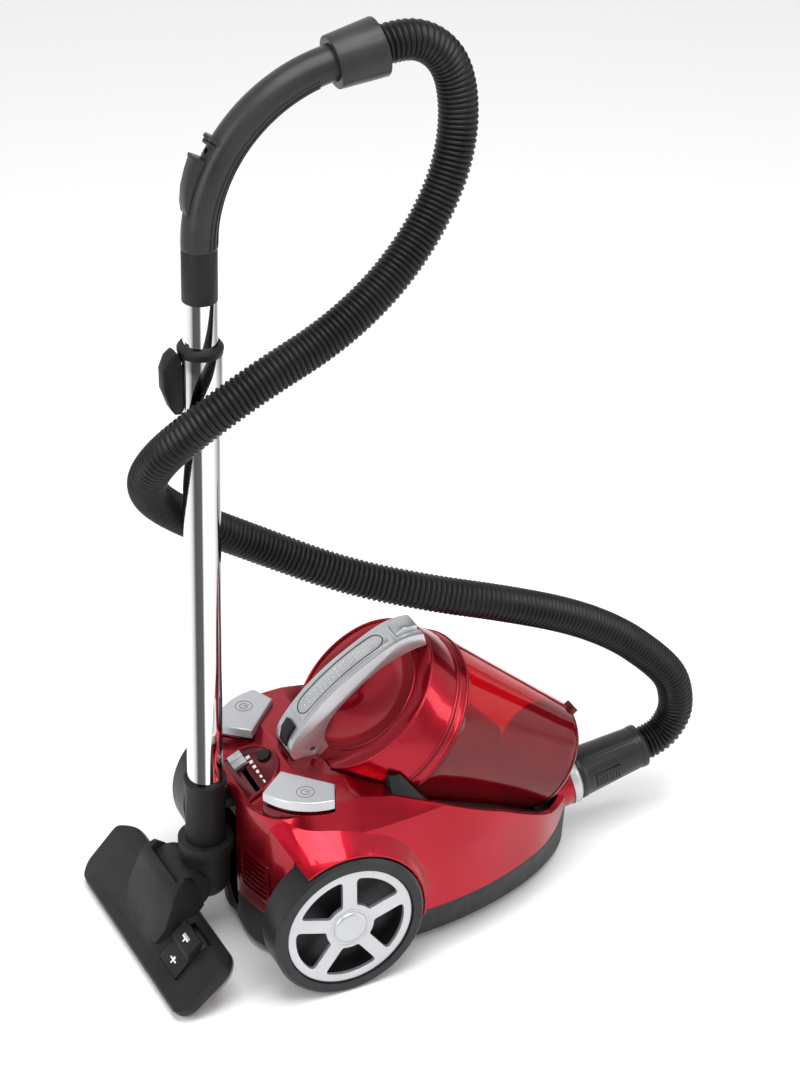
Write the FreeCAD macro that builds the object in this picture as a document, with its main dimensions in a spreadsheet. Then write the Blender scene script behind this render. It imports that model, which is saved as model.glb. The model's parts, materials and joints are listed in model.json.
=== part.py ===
import FreeCAD, Part
import math
import os
from FreeCAD import Placement, Rotation, Vector

# Bagless canister vacuum cleaner, parked with its wand standing behind it. Millimetres, +Z up.
# The hose inlet faces -Y and the floor nozzle stands at +Y. The pieces of the machine are drawn
# about the floor point under the wheel axle; axle_y then places that point in the part's frame.
# The wand has a frame of its own, up along its tube with -Y towards the machine, and the floor
# nozzle has another, with its origin in the middle of its front lower edge and its sole at zero.

SIZES = (
    ("axle_y", 108.2),
    ("running_gap", 0.3),
    ("bearing_gap", 0.06),
    # rear wheels
    ("tyre_radius", 79.3),
    ("tyre_width", 38.0),
    ("tyre_depth", 12.0),
    ("track_outer", 142.0),
    ("disc_radius", 66.6),
    ("disc_thick", 5.0),
    ("hub_radius", 15.0),
    ("cap_radius", 18.0),
    ("axle_radius", 5.0),
    ("window_inner", 24.5),
    ("window_outer", 57.0),
    ("spoke_width", 15.5),
    # caster
    ("caster_y", -214.0),
    ("caster_trail", 9.0),
    ("caster_radius", 14.0),
    ("caster_width", 12.0),
    ("caster_well", 29.0),
    # body
    ("pan_floor", 10.0),
    ("wall", 3.0),
    ("well_radius", 86.0),
    ("well_inner", 101.0),
    ("arch_radius", 81.2),
    ("arch_span", 138.0),
    ("cradle_gap", 2.6),
    ("cradle_wall", 2.2),
    ("ledge_drop", 14.0),
    ("deck_z", 202.0),
    # foot pedals
    ("pedal_height", 10.0),
    ("pedal_top", 208.0),
    ("pedal_wall", 2.5),
    # dust bin
    ("bin_wall", 2.4),
    ("door_thick", 5.0),
    ("handle_width", 38.0),
    ("grip_width", 24.0),
    ("cone_bottom", 20.0),
    # hose port and connector
    ("port_y", -315.0),
    ("port_z", 70.0),
    ("port_rise", 10.0),
    ("port_radius", 21.5),
    ("port_bore", 18.5),
    ("port_ring", 29.0),
    ("connector_length", 80.0),
    ("hose_diameter", 37.0),
    # wand
    ("wand_x", 7.0),
    ("wand_foot_y", 95.8),
    ("wand_lean", 1.66),
    ("tube_outer_radius", 17.6),
    ("tube_outer_bore", 16.6),
    ("tube_inner_radius", 16.1),
    ("tube_inner_bore", 15.1),
    ("tube_outer_foot", 152.0),
    ("tube_outer_top", 660.0),
    ("tube_inner_foot", 330.0),
    ("tube_inner_top", 713.0),
    ("sleeve_radius", 20.2),
    ("sleeve_foot", 582.0),
    ("cuff_radius", 16.4),
    ("cuff_top", 764.0),
    ("bend_start", 768.0),
    ("bend_radius", 153.4),
    ("bend_sweep", 79.0),
    ("grip_radius", 16.6),
    ("grip_bore", 13.0),
    ("collar_lead", 10.5),
    ("collar_length", 46.0),
    # floor nozzle
    ("nozzle_front_y", 174.0),
    ("nozzle_yaw", 2.5),
    ("nozzle_pitch", 39.3),
    ("nozzle_width", 258.0),
    ("pivot_back", 88.0),
    ("pivot_rise", 24.0),
    ("barrel_radius", 21.0),
    ("elbow_radius", 24.5),
    ("elbow_rise", 72.0),
    ("ring_radius", 28.0),
)

ORIGIN = Vector(0, 0, 0)
RIGHT = Vector(1, 0, 0)
BACK = Vector(0, 1, 0)
UP = Vector(0, 0, 1)

doc = FreeCAD.newDocument("CanisterVacuum")
sheet = doc.addObject("Spreadsheet::Sheet", "sizes")
for row, (alias, value) in enumerate(SIZES, start=1):
    sheet.set("A%d" % row, alias)
    sheet.set("B%d" % row, str(value))
    sheet.setAlias("B%d" % row, alias)
doc.recompute()

finished = []


def size(alias):
    return float(sheet.get(alias))


def bind(obj, **values):
    """Set properties; a text value is an expression on the sheet."""
    for prop, value in values.items():
        if isinstance(value, str):
            obj.setExpression(prop, value)
        else:
            setattr(obj, prop, value)
    return obj


def rod(radius, length, start, direction=UP):
    piece = doc.addObject("Part::Cylinder", "rod")
    bind(piece, Radius=radius, Height=length)
    piece.Placement = Placement(start, Rotation(UP, direction))
    return piece


def block(x_size, y_size, z_size, corner):
    piece = doc.addObject("Part::Box", "block")
    bind(piece, Length=x_size, Width=y_size, Height=z_size)
    piece.Placement = Placement(corner, Rotation())
    return piece


def ball(radius, centre):
    piece = doc.addObject("Part::Sphere", "ball")
    bind(piece, Radius=radius)
    piece.Placement = Placement(centre, Rotation())
    return piece


def taper(radius_start, radius_end, length, start, direction=UP):
    piece = doc.addObject("Part::Cone", "taper")
    bind(piece, Radius1=radius_start, Radius2=radius_end, Height=length)
    piece.Placement = Placement(start, Rotation(UP, direction))
    return piece


def shaped(name, shape):
    piece = doc.addObject("Part::Feature", name)
    piece.Shape = shape
    return piece


def fuse(*pieces):
    result = doc.addObject("Part::MultiFuse", "fuse")
    result.Shapes = list(pieces)
    return result


def common(*pieces):
    result = doc.addObject("Part::MultiCommon", "common")
    result.Shapes = list(pieces)
    return result


def cut(base, *tools):
    result = doc.addObject("Part::Cut", "cut")
    result.Base = base
    result.Tool = tools[0] if len(tools) == 1 else fuse(*tools)
    doc.recompute()
    meets = base.Shape.BoundBox.intersect(result.Tool.Shape.BoundBox)
    if result.Shape.isNull() or not result.Shape.isValid() or not meets:
        raise RuntimeError("a cut failed on " + base.Name)
    return result


def tube(outer, bore, length, start, direction=UP):
    step = direction * -1.0
    reach = length + " + 2" if isinstance(length, str) else length + 2.0
    drill = rod(bore, reach, start + step, direction)
    return cut(rod(outer, length, start, direction), drill)


def finish(piece, label, frame):
    """Name a sub-part and place it in the part's frame."""
    piece.Label = label
    piece.Placement = frame.multiply(piece.Placement)
    finished.append(piece)
    return piece


def lines(points, closed=True):
    corners = [Vector(*point) for point in points]
    ends = corners[1:] + corners[:1] if closed else corners[1:]
    return [Part.LineSegment(a, b) for a, b in zip(corners, ends)]


def prism(points, axis, start, length):
    """Closed outline in the plane across X, Y or Z, pushed along that axis."""
    place = {"X": lambda a, b: Vector(start, a, b),
             "Y": lambda a, b: Vector(a, start, b),
             "Z": lambda a, b: Vector(a, b, start)}[axis]
    push = {"X": RIGHT, "Y": BACK, "Z": UP}[axis]
    corners = [place(a, b) for a, b in points]
    face = Part.Face(Part.makePolygon(corners + corners[:1]))
    return shaped("prism", face.extrude(push * length))


def sketch_on(body, role, geometry, offset=0.0):
    plane = [feature for feature in body.Origin.OriginFeatures if feature.Role == role][0]
    sketch = body.newObject("Sketcher::SketchObject", "Sketch")
    sketch.AttachmentSupport = [(plane, "")]
    sketch.MapMode = "FlatFace"
    sketch.AttachmentOffset = Placement(Vector(0, 0, offset), Rotation())
    sketch.addGeometry(geometry, False)
    return sketch


def pad(body, sketch, length, side="One side", backwards=False):
    feature = body.newObject("PartDesign::Pad", "Pad")
    feature.Profile = sketch
    bind(feature, Length=length)
    feature.SideType = side
    feature.Reversed = backwards
    doc.recompute()
    return feature


def pocket(body, sketch, length, side="One side", backwards=False):
    before = body.Shape.Volume
    feature = body.newObject("PartDesign::Pocket", "Pocket")
    feature.Profile = sketch
    bind(feature, Length=length)
    feature.SideType = side
    feature.Reversed = backwards
    doc.recompute()
    if body.Shape.Volume > before - 0.1:
        raise RuntimeError("a pocket took nothing away from " + body.Label)
    return feature


def polar(body, feature, count, axis_role):
    axis = [item for item in body.Origin.OriginFeatures if item.Role == axis_role][0]
    pattern = body.newObject("PartDesign::PolarPattern", "PolarPattern")
    pattern.Originals = [feature]
    pattern.Axis = (axis, [""])
    pattern.Occurrences = count
    body.Tip = pattern
    doc.recompute()
    return pattern


BODY_FRAME = Placement(Vector(0, size("axle_y"), 0), Rotation())
WAND_FOOT = Placement(Vector(size("wand_x"), size("wand_foot_y"), 0), Rotation(RIGHT, size("wand_lean")))
WAND_FRAME = BODY_FRAME.multiply(WAND_FOOT)
NOZZLE_TURN = Rotation(UP, size("nozzle_yaw")).multiply(Rotation(RIGHT, -size("nozzle_pitch")))
NOZZLE_SPOT = Placement(Vector(size("wand_x"), size("nozzle_front_y"), 0), NOZZLE_TURN)
NOZZLE_FRAME = BODY_FRAME.multiply(NOZZLE_SPOT)


# ---------------------------------------------------------------- the dust bin's slanted circles
# Each circle of the bin has its centre in the middle plane and leans by its own angle: the bin
# runs down towards the hose inlet. Rows: centre y, centre z, radius, slope of the bin's axis there.

LID_FACE = (-77.5, 246.0, 85.2, 50.0)
LID_SEAM = (-101.0, 213.6, 95.0, 45.0)
RING_FRONT = (-111.5, 206.0, 96.5, 44.0)
BIN_FRONT = (-272.0, 112.5, 60.5, 38.0)


def slope_axis(circle):
    angle = math.radians(circle[3])
    return Vector(0, -math.cos(angle), -math.sin(angle))


def moved(circle, along, grow=0.0):
    """The same circle shifted along its own axis, with its radius changed."""
    step = slope_axis(circle) * along
    return (circle[0] + step.y, circle[1] + step.z, circle[2] + grow, circle[3])


def circle_wire(circle):
    edge = Part.Circle(Vector(0, circle[0], circle[1]), slope_axis(circle), circle[2])
    return Part.Wire([edge.toShape()])


def bin_loft(circles):
    """Straight-sided solid through a row of the bin's circles."""
    sections = [shaped("ring", circle_wire(circle)) for circle in circles]
    loft = doc.addObject("Part::Loft", "loft")
    loft.Sections = sections
    loft.Solid = True
    loft.Ruled = True
    return loft


def swollen_bin(grow):
    """The room that the closed bin takes up, grown all round."""
    return bin_loft((moved(LID_FACE, -grow, grow), moved(LID_SEAM, 0, grow), moved(RING_FRONT, 0, grow),
                     moved(BIN_FRONT, 0, grow), moved(BIN_FRONT, size("door_thick") + grow, grow)))


def half_lifted_bin(grow):
    """The room that the bin takes up on its way out, when it passes closest to the deck's edge."""
    room = swollen_bin(grow)
    room.Placement = Placement(Vector(0, -0.566, 0.824) * 10.7, Rotation())
    return room


# ---------------------------------------------------------------- body hull
# Half widths of the plan outline at fixed stations along the body, for five heights.

STATIONS = (62.0, 38.0, -20.0, -90.0, -166.0, -212.0, -255.0, -291.0)
HULL = {
    10.0: (64.0, -304.0, (42.0, 78.0, 99.0, 103.0, 93.0, 79.0, 58.0, 28.0)),
    57.0: (69.0, -309.0, (52.0, 99.0, 120.0, 123.0, 112.0, 96.0, 71.0, 33.0)),
    120.0: (70.0, -308.0, (54.0, 102.0, 122.0, 122.0, 110.0, 92.0, 68.0, 31.0)),
    172.0: (69.0, -304.0, (53.0, 100.0, 118.0, 115.0, 103.0, 86.0, 62.0, 28.0)),
    208.0: (62.0, -290.0, (44.0, 82.0, 98.0, 95.0, 84.0, 70.0, 48.0, 18.0)),
}
STATION_STEPS = (0.0, 0.13, 0.23, 0.35, 0.5, 0.66, 0.76, 0.86, 0.94, 1.0)
TIP_SPEED = 420.0
HULL_MIDDLE = -110.0


def hull_curves(level, inset):
    """Right and left half outlines of the body at one height, drawn in by inset."""
    rear, nose, widths = HULL[level]
    shrink = 1.0 - inset / 170.0
    half = [(width - inset, HULL_MIDDLE + (station - HULL_MIDDLE) * shrink)
            for width, station in zip(widths, STATIONS)]
    rear_tip = Vector(0, HULL_MIDDLE + (rear - HULL_MIDDLE) * shrink, level)
    nose_tip = Vector(0, HULL_MIDDLE + (nose - HULL_MIDDLE) * shrink, level)
    curves = []
    for side in (1, -1):
        spots = [rear_tip] + [Vector(side * x, y, level) for x, y in half] + [nose_tip]
        curve = Part.BSplineCurve()
        curve.interpolate(Points=spots, Parameters=STATION_STEPS,
                          InitialTangent=RIGHT * side * TIP_SPEED, FinalTangent=RIGHT * -side * TIP_SPEED,
                          Scale=False)
        curves.append(curve.toShape())
    return curves


def hull(levels, inset=0.0):
    """Closed body of ruled walls between the outlines at the given heights."""
    rows = [hull_curves(level, inset) for level in levels]
    faces = [Part.Face(Part.Wire(Part.__sortEdges__(row))) for row in (rows[0], rows[-1])]
    for lower, upper in zip(rows, rows[1:]):
        faces += [Part.makeRuledSurface(below, above) for below, above in zip(lower, upper)]
    shell = Part.makeShell(faces)
    shell.sewShape()
    solid = Part.makeSolid(Part.Shell(shell.Faces))
    if solid.Volume < 0:
        solid.reverse()
    return shaped("hull", solid)


SHELL_LEVELS = (57.0, 120.0, 172.0, 208.0)
PAN_LEVELS = (10.0, 57.0)
DECK_EDGE = -62.0
HALF_SPAN = 160.0


def under_top(drop, rear=100.0, nose=-330.0):
    """Everything below the body's top line, which is lowered by drop."""
    deck = size("deck_z")
    rear_slope = 0.49
    rear_line = [(rear, deck - (rear - 14.0) * rear_slope), (14.0, deck)]
    front_line = [(-30.0, deck), (-62.0, 195.0), (-110.0, 175.0), (-184.0, 135.0), (-258.0, 85.0),
                  (-330.0, 52.0)]
    kept = [(y, z - drop) for y, z in rear_line + front_line if nose <= y <= rear]
    return prism([(nose, 0.0)] + [(rear, 0.0)] + kept, "X", -HALF_SPAN, 2 * HALF_SPAN)


def wheel_wells(radius, inner):
    pieces = []
    for side in (-1, 1):
        start = Vector(side * inner, 0, size("tyre_radius"))
        pieces.append(rod(radius, 60.0, start, RIGHT * side))
    return pieces


# Outline of a foot pedal from above: rear inner, front inner and front outer corners, the middle of
# the bowed outer side, and the rear outer corner.
PEDAL_OUTLINE = ((37.0, 28.0), (79.0, -12.0), (103.0, -1.0), (92.0, 33.0), (62.0, 57.0))


def pedal_wire(side, grow):
    """Outline of the foot pedal on one side, grown outwards."""
    corners = [Vector(side * x, y, 0) for x, y in PEDAL_OUTLINE]
    inner_rear, inner_front, outer_front, bow, outer_rear = corners
    edges = [Part.LineSegment(inner_rear, inner_front), Part.LineSegment(inner_front, outer_front),
             Part.Arc(outer_front, bow, outer_rear), Part.LineSegment(outer_rear, inner_rear)]
    wire = Part.Wire([edge.toShape() for edge in edges])
    return wire.makeOffset2D(grow, 2) if grow else wire


def wire_geometry(wire):
    """Sketch lines and arcs of a flat wire."""
    geometry = []
    for edge in wire.Edges:
        first, last = edge.FirstParameter, edge.LastParameter
        start, middle, stop = [edge.valueAt(spot) for spot in (first, (first + last) / 2.0, last)]
        straight = (middle - (start + stop) / 2.0).Length < 0.001
        geometry.append(Part.LineSegment(start, stop) if straight else Part.Arc(start, middle, stop))
    return geometry


def pedal_room(grow, low, high):
    """Two blocks that fit round the foot pedals."""
    pieces = []
    for side in (-1, 1):
        face = Part.Face(pedal_wire(side, grow))
        face.translate(Vector(0, 0, low))
        pieces.append(shaped("pedal_room", face.extrude(UP * (high - low))))
    return pieces


def port_axis():
    rise = math.radians(size("port_rise"))
    return Vector(0, -math.cos(rise), math.sin(rise))


PORT = Vector(0, size("port_y"), size("port_z"))
GRILLE_WINDOW = (-72.0, -24.0, 74.0, 122.0)


def grille_box(grow):
    left, right, low, high = GRILLE_WINDOW
    corner = Vector(left - grow, 28.0, low - grow)
    return block(right - left + 2 * grow, 60.0, high - low + 2 * grow, corner)


def wand_scoop():
    """Round channel in the body's rear face, where the wand's neck stands."""
    start = WAND_FOOT.multVec(Vector(0, 0, -10))
    direction = WAND_FOOT.Rotation.multVec(UP)
    return rod(33.0, 182.0, start, direction)


REEL = Vector(0, 4.0, 72.0)
SCREW_SPOTS = ((-70, -60), (70, -60), (-60, -200), (60, -200), (-30, 46), (30, 46))


def reel_stand():
    """Two posts and the spindle that the cord reel turns on."""
    spindle = rod(5.0, 62.0, REEL - RIGHT * 31.0, RIGHT)
    posts = [block(6.0, 20.0, 74.0, REEL + Vector(offset, -10, -61)) for offset in (-31.0, 25.0)]
    return [spindle] + posts


def make_chassis_pan():
    inset = size("wall")
    outside = hull(PAN_LEVELS)
    floor_z = size("pan_floor") + inset
    room = common(hull(PAN_LEVELS, inset), block(400.0, 500.0, 100.0, Vector(-200, -350, floor_z)))
    room = cut(room, *wheel_wells(size("well_radius") + inset, size("well_inner") - inset))
    caster = Vector(0, size("caster_y"), 0)
    well = rod("sizes.caster_well + sizes.wall", 31.0, caster + UP * floor_z)
    room = cut(room, well)
    pan = cut(outside, room, *wheel_wells(size("well_radius"), size("well_inner")))
    screw_rooms = [rod(radius, length, Vector(x, y, low)) for x, y in SCREW_SPOTS
                   for radius, length, low in ((2.05, 6.0, 9.0), (4.05, 2.9, 9.0))]
    boss_room = rod("sizes.port_radius + 6.6", 36.0, PORT - port_axis() * 35.0, port_axis())
    pan = cut(pan, rod("sizes.caster_well", 36.0, caster), rod(5.0 + size("bearing_gap"), 60.0, caster),
              wand_scoop(), boss_room, port_seat(), *screw_rooms)
    bearings = []
    for side in (-1, 1):
        corner = Vector(side * 91.0 - 7.0, -12.0, floor_z - 1.0)
        bearings.append(block(14.0, 24.0, size("tyre_radius") + 13.0 - floor_z, corner))
    axle = rod("sizes.axle_radius + 0.05", 280.0, Vector(-140, 0, size("tyre_radius")), RIGHT)
    return finish(cut(fuse(pan, *bearings, *reel_stand()), axle), "chassis_pan", BODY_FRAME)


def handle_end_room():
    """Recess in the deck for the lower end of the carry handle."""
    return block(39.6, 35.6, 60.0, Vector(-19.8, -28, 189))


def port_seat():
    """Flat seat for the ring round the hose port."""
    seat_depth = 8.0
    return rod("sizes.port_ring + 0.3", 60.0, PORT - port_axis() * seat_depth, port_axis())


def wheel_arches():
    """Flared arches over the rear wheels, from behind the top to the front, tapering into the sides."""
    pieces = []
    inner, outer, steepness = 84.0, size("arch_span"), 0.62
    foot = size("arch_radius") + 2.0 + steepness * (outer - inner)
    centre_z = size("tyre_radius")
    reach = 130.0
    rays = [(reach * math.cos(math.radians(angle)), centre_z + reach * math.sin(math.radians(angle)))
            for angle in (59.0, 80.0, 110.0, 140.0, 170.0, 190.0)]
    for side in (-1, 1):
        start = Vector(side * inner, 0, centre_z)
        flare = taper(foot, "sizes.arch_radius + 2.0", outer - inner, start, RIGHT * side)
        window = prism([(0.0, centre_z)] + rays, "X", -HALF_SPAN, 2 * HALF_SPAN)
        above_parting = block(400.0, 300.0, 200.0, Vector(-200, -150, 57.0))
        arch = cut(common(common(flare, window), above_parting), hull(SHELL_LEVELS, size("wall")))
        pieces.append(cut(arch, rod("sizes.arch_radius", 80.0, start - RIGHT * side * 10.0, RIGHT * side)))
    return pieces


CORD_OUTLET = Vector(44, 50, 100)


def make_body_shell():
    inset = size("wall")
    outside = common(hull(SHELL_LEVELS), under_top(0.0))
    rear_room = common(hull(SHELL_LEVELS, inset), under_top(inset, nose=DECK_EDGE - 1.0))
    front_room = common(hull(SHELL_LEVELS, inset + 1.0), block(400.0, 300.0, 300.0, Vector(-200, -362, 0)))
    housings = wheel_wells(size("well_radius") + inset, size("well_inner") - inset)
    room = cut(fuse(rear_room, front_room), *housings)
    boss = rod("sizes.port_radius + 6.5", 34.0, PORT - port_axis() * 34.0, port_axis())
    shell = fuse(cut(outside, room), cut(boss, swollen_bin(size("cradle_gap") + 3.0)))
    wells = wheel_wells(size("well_radius"), size("well_inner"))
    shell = cut(shell, swollen_bin(size("cradle_gap")), half_lifted_bin(0.8), *wells)
    slot = block(60.0, 14.0, 20.0, Vector(-32, 43, 176))
    port = rod("sizes.port_radius + 0.05", 80.0, PORT - port_axis() * 60.0, port_axis())
    axle = rod("sizes.axle_radius + 0.3", 280.0, Vector(-140, 0, size("tyre_radius")), RIGHT)
    button = rod(7.5, 30.0, Vector(7, 27, 180))
    outlet = rod(10.05, 40.0, CORD_OUTLET, BACK)
    pedal_low = size("pedal_top") - size("pedal_height") - 4.4
    shell = cut(shell, handle_end_room(), slot, port, axle, button, wand_scoop(), grille_box(0.0), outlet,
                port_seat(), *pedal_room(-2.9, 150.0, 230.0), *pedal_room(0.6, pedal_low, 230.0))
    return finish(fuse(shell, *wheel_arches()), "body_shell", BODY_FRAME)


def make_bin_cradle():
    gap = size("cradle_gap")
    wall = size("cradle_wall")
    inside = hull(SHELL_LEVELS, size("wall") + 1.3)
    ledge = cut(under_top(size("ledge_drop"), rear=DECK_EDGE - 1.0), under_top(size("ledge_drop") + wall))
    below = fuse(under_top(size("ledge_drop")), under_top(3.4, nose=DECK_EDGE))
    bowl = common(swollen_bin(gap + wall), below)
    liner = common(fuse(ledge, bowl), inside)
    port = rod("sizes.port_radius + 7", 80.0, PORT - port_axis() * 60.0, port_axis())
    wells = wheel_wells(size("well_radius") + 3.3, size("well_inner") - 3.3)
    return finish(cut(liner, swollen_bin(gap), port, handle_end_room(), *wells), "bin_cradle", BODY_FRAME)


def make_pedal_bases():
    """Black plinths that fill the deck's openings under the pedals and guide the pedals inside."""
    travel_end = size("pedal_top") - size("pedal_height") - 4.4
    guides = pedal_room(-3.2, 168.0, size("pedal_top") - 7.0)
    bands = pedal_room(0.5, travel_end - 5.6, travel_end)
    feet = common(fuse(*pedal_room(0.5, 172.0, travel_end)), hull(SHELL_LEVELS))
    deck = common(hull(SHELL_LEVELS, -0.02), under_top(-0.02))
    bases = fuse(cut(fuse(feet, *bands), deck), *guides)
    doc.recompute()
    smallest_piece = 100.0
    solids = [solid for solid in bases.Shape.Solids if solid.Volume > smallest_piece]
    return finish(shaped("pedal_bases", Part.makeCompound(solids)), "pedal_bases", BODY_FRAME)


def make_pedal(label, side):
    body = doc.addObject("PartDesign::Body", "pedal")
    height = size("pedal_height")
    low = size("pedal_top") - height
    edges = wire_geometry(pedal_wire(side, 0.0))
    base = pad(body, sketch_on(body, "XY_Plane", edges, low), "sizes.pedal_height")
    edge_names = ["Edge%d" % (index + 1) for index, edge in enumerate(body.Shape.Edges)
                  if edge.BoundBox.ZMin > size("pedal_top") - 0.01]
    rounding = body.newObject("PartDesign::Fillet", "Fillet")
    rounding.Base = (base, edge_names)
    rounding.Radius = 1.6
    doc.recompute()
    room = wire_geometry(pedal_wire(side, -size("pedal_wall")))
    pocket(body, sketch_on(body, "XY_Plane", room, low), "sizes.pedal_height - sizes.pedal_wall",
           backwards=True)
    return finish(body, label, BODY_FRAME)


PANEL_TILT = Placement(Vector(0, 14.0, size("deck_z")), Rotation(RIGHT, -math.degrees(math.atan(0.49))))


def make_control_panel():
    body = doc.addObject("PartDesign::Body", "panel")
    half = 36.5
    spring = 36.0
    flat = [Part.LineSegment(Vector(-half, spring, 0), Vector(-half, 52, 0)),
            Part.LineSegment(Vector(-half, 52, 0), Vector(half, 52, 0)),
            Part.LineSegment(Vector(half, 52, 0), Vector(half, spring, 0)),
            Part.Arc(Vector(half, spring, 0), Vector(0, 3, 0), Vector(-half, spring, 0))]
    pad(body, sketch_on(body, "XY_Plane", flat), 1.6)
    slot = lines(((-31, 36.5, 0), (27, 36.5, 0), (27, 41.5, 0), (-31, 41.5, 0)))
    pocket(body, sketch_on(body, "XY_Plane", slot), 8.0, side="Symmetric")
    hole = [Part.Circle(Vector(7, 14.5, 0), UP, 7.3)]
    pocket(body, sketch_on(body, "XY_Plane", hole), 8.0, side="Symmetric")
    return finish(body, "control_panel", BODY_FRAME.multiply(PANEL_TILT))


def make_suction_slider():
    stem = block(10.0, 4.0, 9.0, Vector(15, 37, -7))
    knob = block(20.0, 15.0, 5.0, Vector(10, 31.5, 2.0))
    ridge = block(4.0, 15.0, 2.5, Vector(18, 31.5, 6.9))
    return finish(fuse(stem, knob, ridge), "suction_slider", BODY_FRAME.multiply(PANEL_TILT))


def make_bin_full_button():
    stem = rod(4.0, 10.0, Vector(7, 14.5, -9))
    cap = rod(7.0, 3.6, Vector(7, 14.5, 0.2))
    return finish(fuse(stem, cap), "round_button", BODY_FRAME.multiply(PANEL_TILT))


def make_exhaust():
    outer_skin = common(hull(SHELL_LEVELS, -0.8), grille_box(-0.3))
    skin = cut(outer_skin, hull(SHELL_LEVELS, 2.4))
    left, right, low, high = GRILLE_WINDOW
    slots = []
    slot_count = 7
    for index in range(slot_count):
        corner = Vector(left + 5.0, 28.0, low + 5.0 + index * 6.2)
        slots.append(block(right - left - 10.0, 60.0, 3.0, corner))
    finish(cut(skin, *slots), "exhaust_grille", BODY_FRAME)
    pad_piece = block(right - left - 4.0, 12.0, high - low - 4.0, Vector(left + 2.0, 30.0, low + 2.0))
    limit = hull(SHELL_LEVELS, 5.5)
    finish(common(pad_piece, limit), "exhaust_filter", BODY_FRAME)


def make_hose_port():
    axis = port_axis()
    pipe = rod("sizes.port_radius", 56.0, PORT - axis * 56.0, axis)
    ring = rod("sizes.port_ring", 7.9, PORT - axis * 7.9, axis)
    flange = rod(25.6, 12.0, PORT, axis)
    lip = rod(24.4, 3.0, PORT + axis * 12.0, axis)
    bore = rod("sizes.port_bore", 100.0, PORT - axis * 70.0, axis)
    return finish(cut(fuse(pipe, ring, flange, lip), bore, swollen_bin(size("cradle_gap") + 0.4)),
                  "hose_port", BODY_FRAME)


def make_axle_stubs():
    pieces = []
    for side in (-1, 1):
        start = Vector(side * 84.0, 0, size("tyre_radius"))
        pieces.append(rod("sizes.axle_radius", 52.0, start, RIGHT * side))
    return finish(fuse(*pieces), "axle_stubs", BODY_FRAME)


MOTOR = Vector(0, -136.0, 53.0)
MOTOR_LENGTH = 78.0


def make_motor():
    case = rod(37.0, MOTOR_LENGTH, MOTOR, BACK)
    room = rod(34.5, MOTOR_LENGTH - 6.0, MOTOR + BACK * 3.0, BACK)
    eye = rod(12.0, 8.0, MOTOR - BACK * 2.0, BACK)
    vents = []
    vent_count = 8
    for index in range(vent_count):
        turn = Rotation(BACK, index * 360.0 / vent_count)
        spot = MOTOR + BACK * (MOTOR_LENGTH - 5.0) + turn.multVec(UP * 22.0)
        vents.append(rod(4.5, 8.0, spot, BACK))
    feet = block(50.0, 60.0, 8.0, MOTOR + Vector(-25, 9, -40.0))
    bearing = rod(4.06, 8.0, MOTOR + BACK * (MOTOR_LENGTH - 5.0), BACK)
    hollow = cut(fuse(case, feet), room, eye, bearing, *vents)
    finish(hollow, "motor_housing", BODY_FRAME)
    stator = tube(34.4, 20.0, 30.0, MOTOR + BACK * 38.0, BACK)
    finish(stator, "motor_stator", BODY_FRAME)
    shaft = rod(4.0, MOTOR_LENGTH - 14.0, MOTOR + BACK * 13.0, BACK)
    plate = rod(31.0, 2.5, MOTOR + BACK * 24.0, BACK)
    armature = rod(19.0, 26.0, MOTOR + BACK * 40.0, BACK)
    blades = []
    blade_count = 9
    for index in range(blade_count):
        blade = block(1.6, 12.0, 22.0, ORIGIN)
        turn = Rotation(BACK, index * 360.0 / blade_count)
        blade.Placement = Placement(MOTOR + BACK * 12.5 + turn.multVec(UP * 8.0), turn)
        blades.append(blade)
    nose = rod(10.0, 12.0, MOTOR + BACK * 12.5, BACK)
    finish(fuse(shaft, plate, armature, nose, *blades), "fan_rotor", BODY_FRAME)


def make_cord_reel():
    core = rod(20.0, 40.0, REEL - RIGHT * 20.0, RIGHT)
    flanges = [rod(47.0, 3.0, REEL + RIGHT * offset, RIGHT) for offset in (-23.0, 20.0)]
    bore = rod(5.06, 60.0, REEL - RIGHT * 30.0, RIGHT)
    finish(cut(fuse(core, *flanges), bore), "cord_reel", BODY_FRAME)


def make_cord_outlet():
    outlet = tube(10.0, 4.2, 15.5, CORD_OUTLET, BACK)
    return finish(outlet, "cord_outlet", BODY_FRAME)


def make_control_board():
    board = block(34.0, 56.0, 1.6, Vector(38, -34, 40))
    posts = [rod(2.5, 27.1, Vector(x, y, 13.0)) for x in (42.0, 68.0) for y in (-30.0, 18.0)]
    chips = [block(12.0, 10.0, 6.0, Vector(46, -20, 41.5)), rod(6.0, 14.0, Vector(60, 6, 41.5))]
    return finish(fuse(board, *posts, *chips), "control_board", BODY_FRAME)


def make_chassis_screws():
    pieces = []
    for x, y in SCREW_SPOTS:
        pieces.append(rod(2.0, 16.0, Vector(x, y, 11.0)))
        pieces.append(rod(4.0, 1.2, Vector(x, y, 10.6)))
    pairs = [fuse(pieces[index], pieces[index + 1]) for index in range(0, len(pieces), 2)]
    doc.recompute()
    screws = Part.makeCompound([pair.Shape for pair in pairs])
    return finish(shaped("screws", screws), "chassis_screws", BODY_FRAME)


# ---------------------------------------------------------------- wheels

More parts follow.
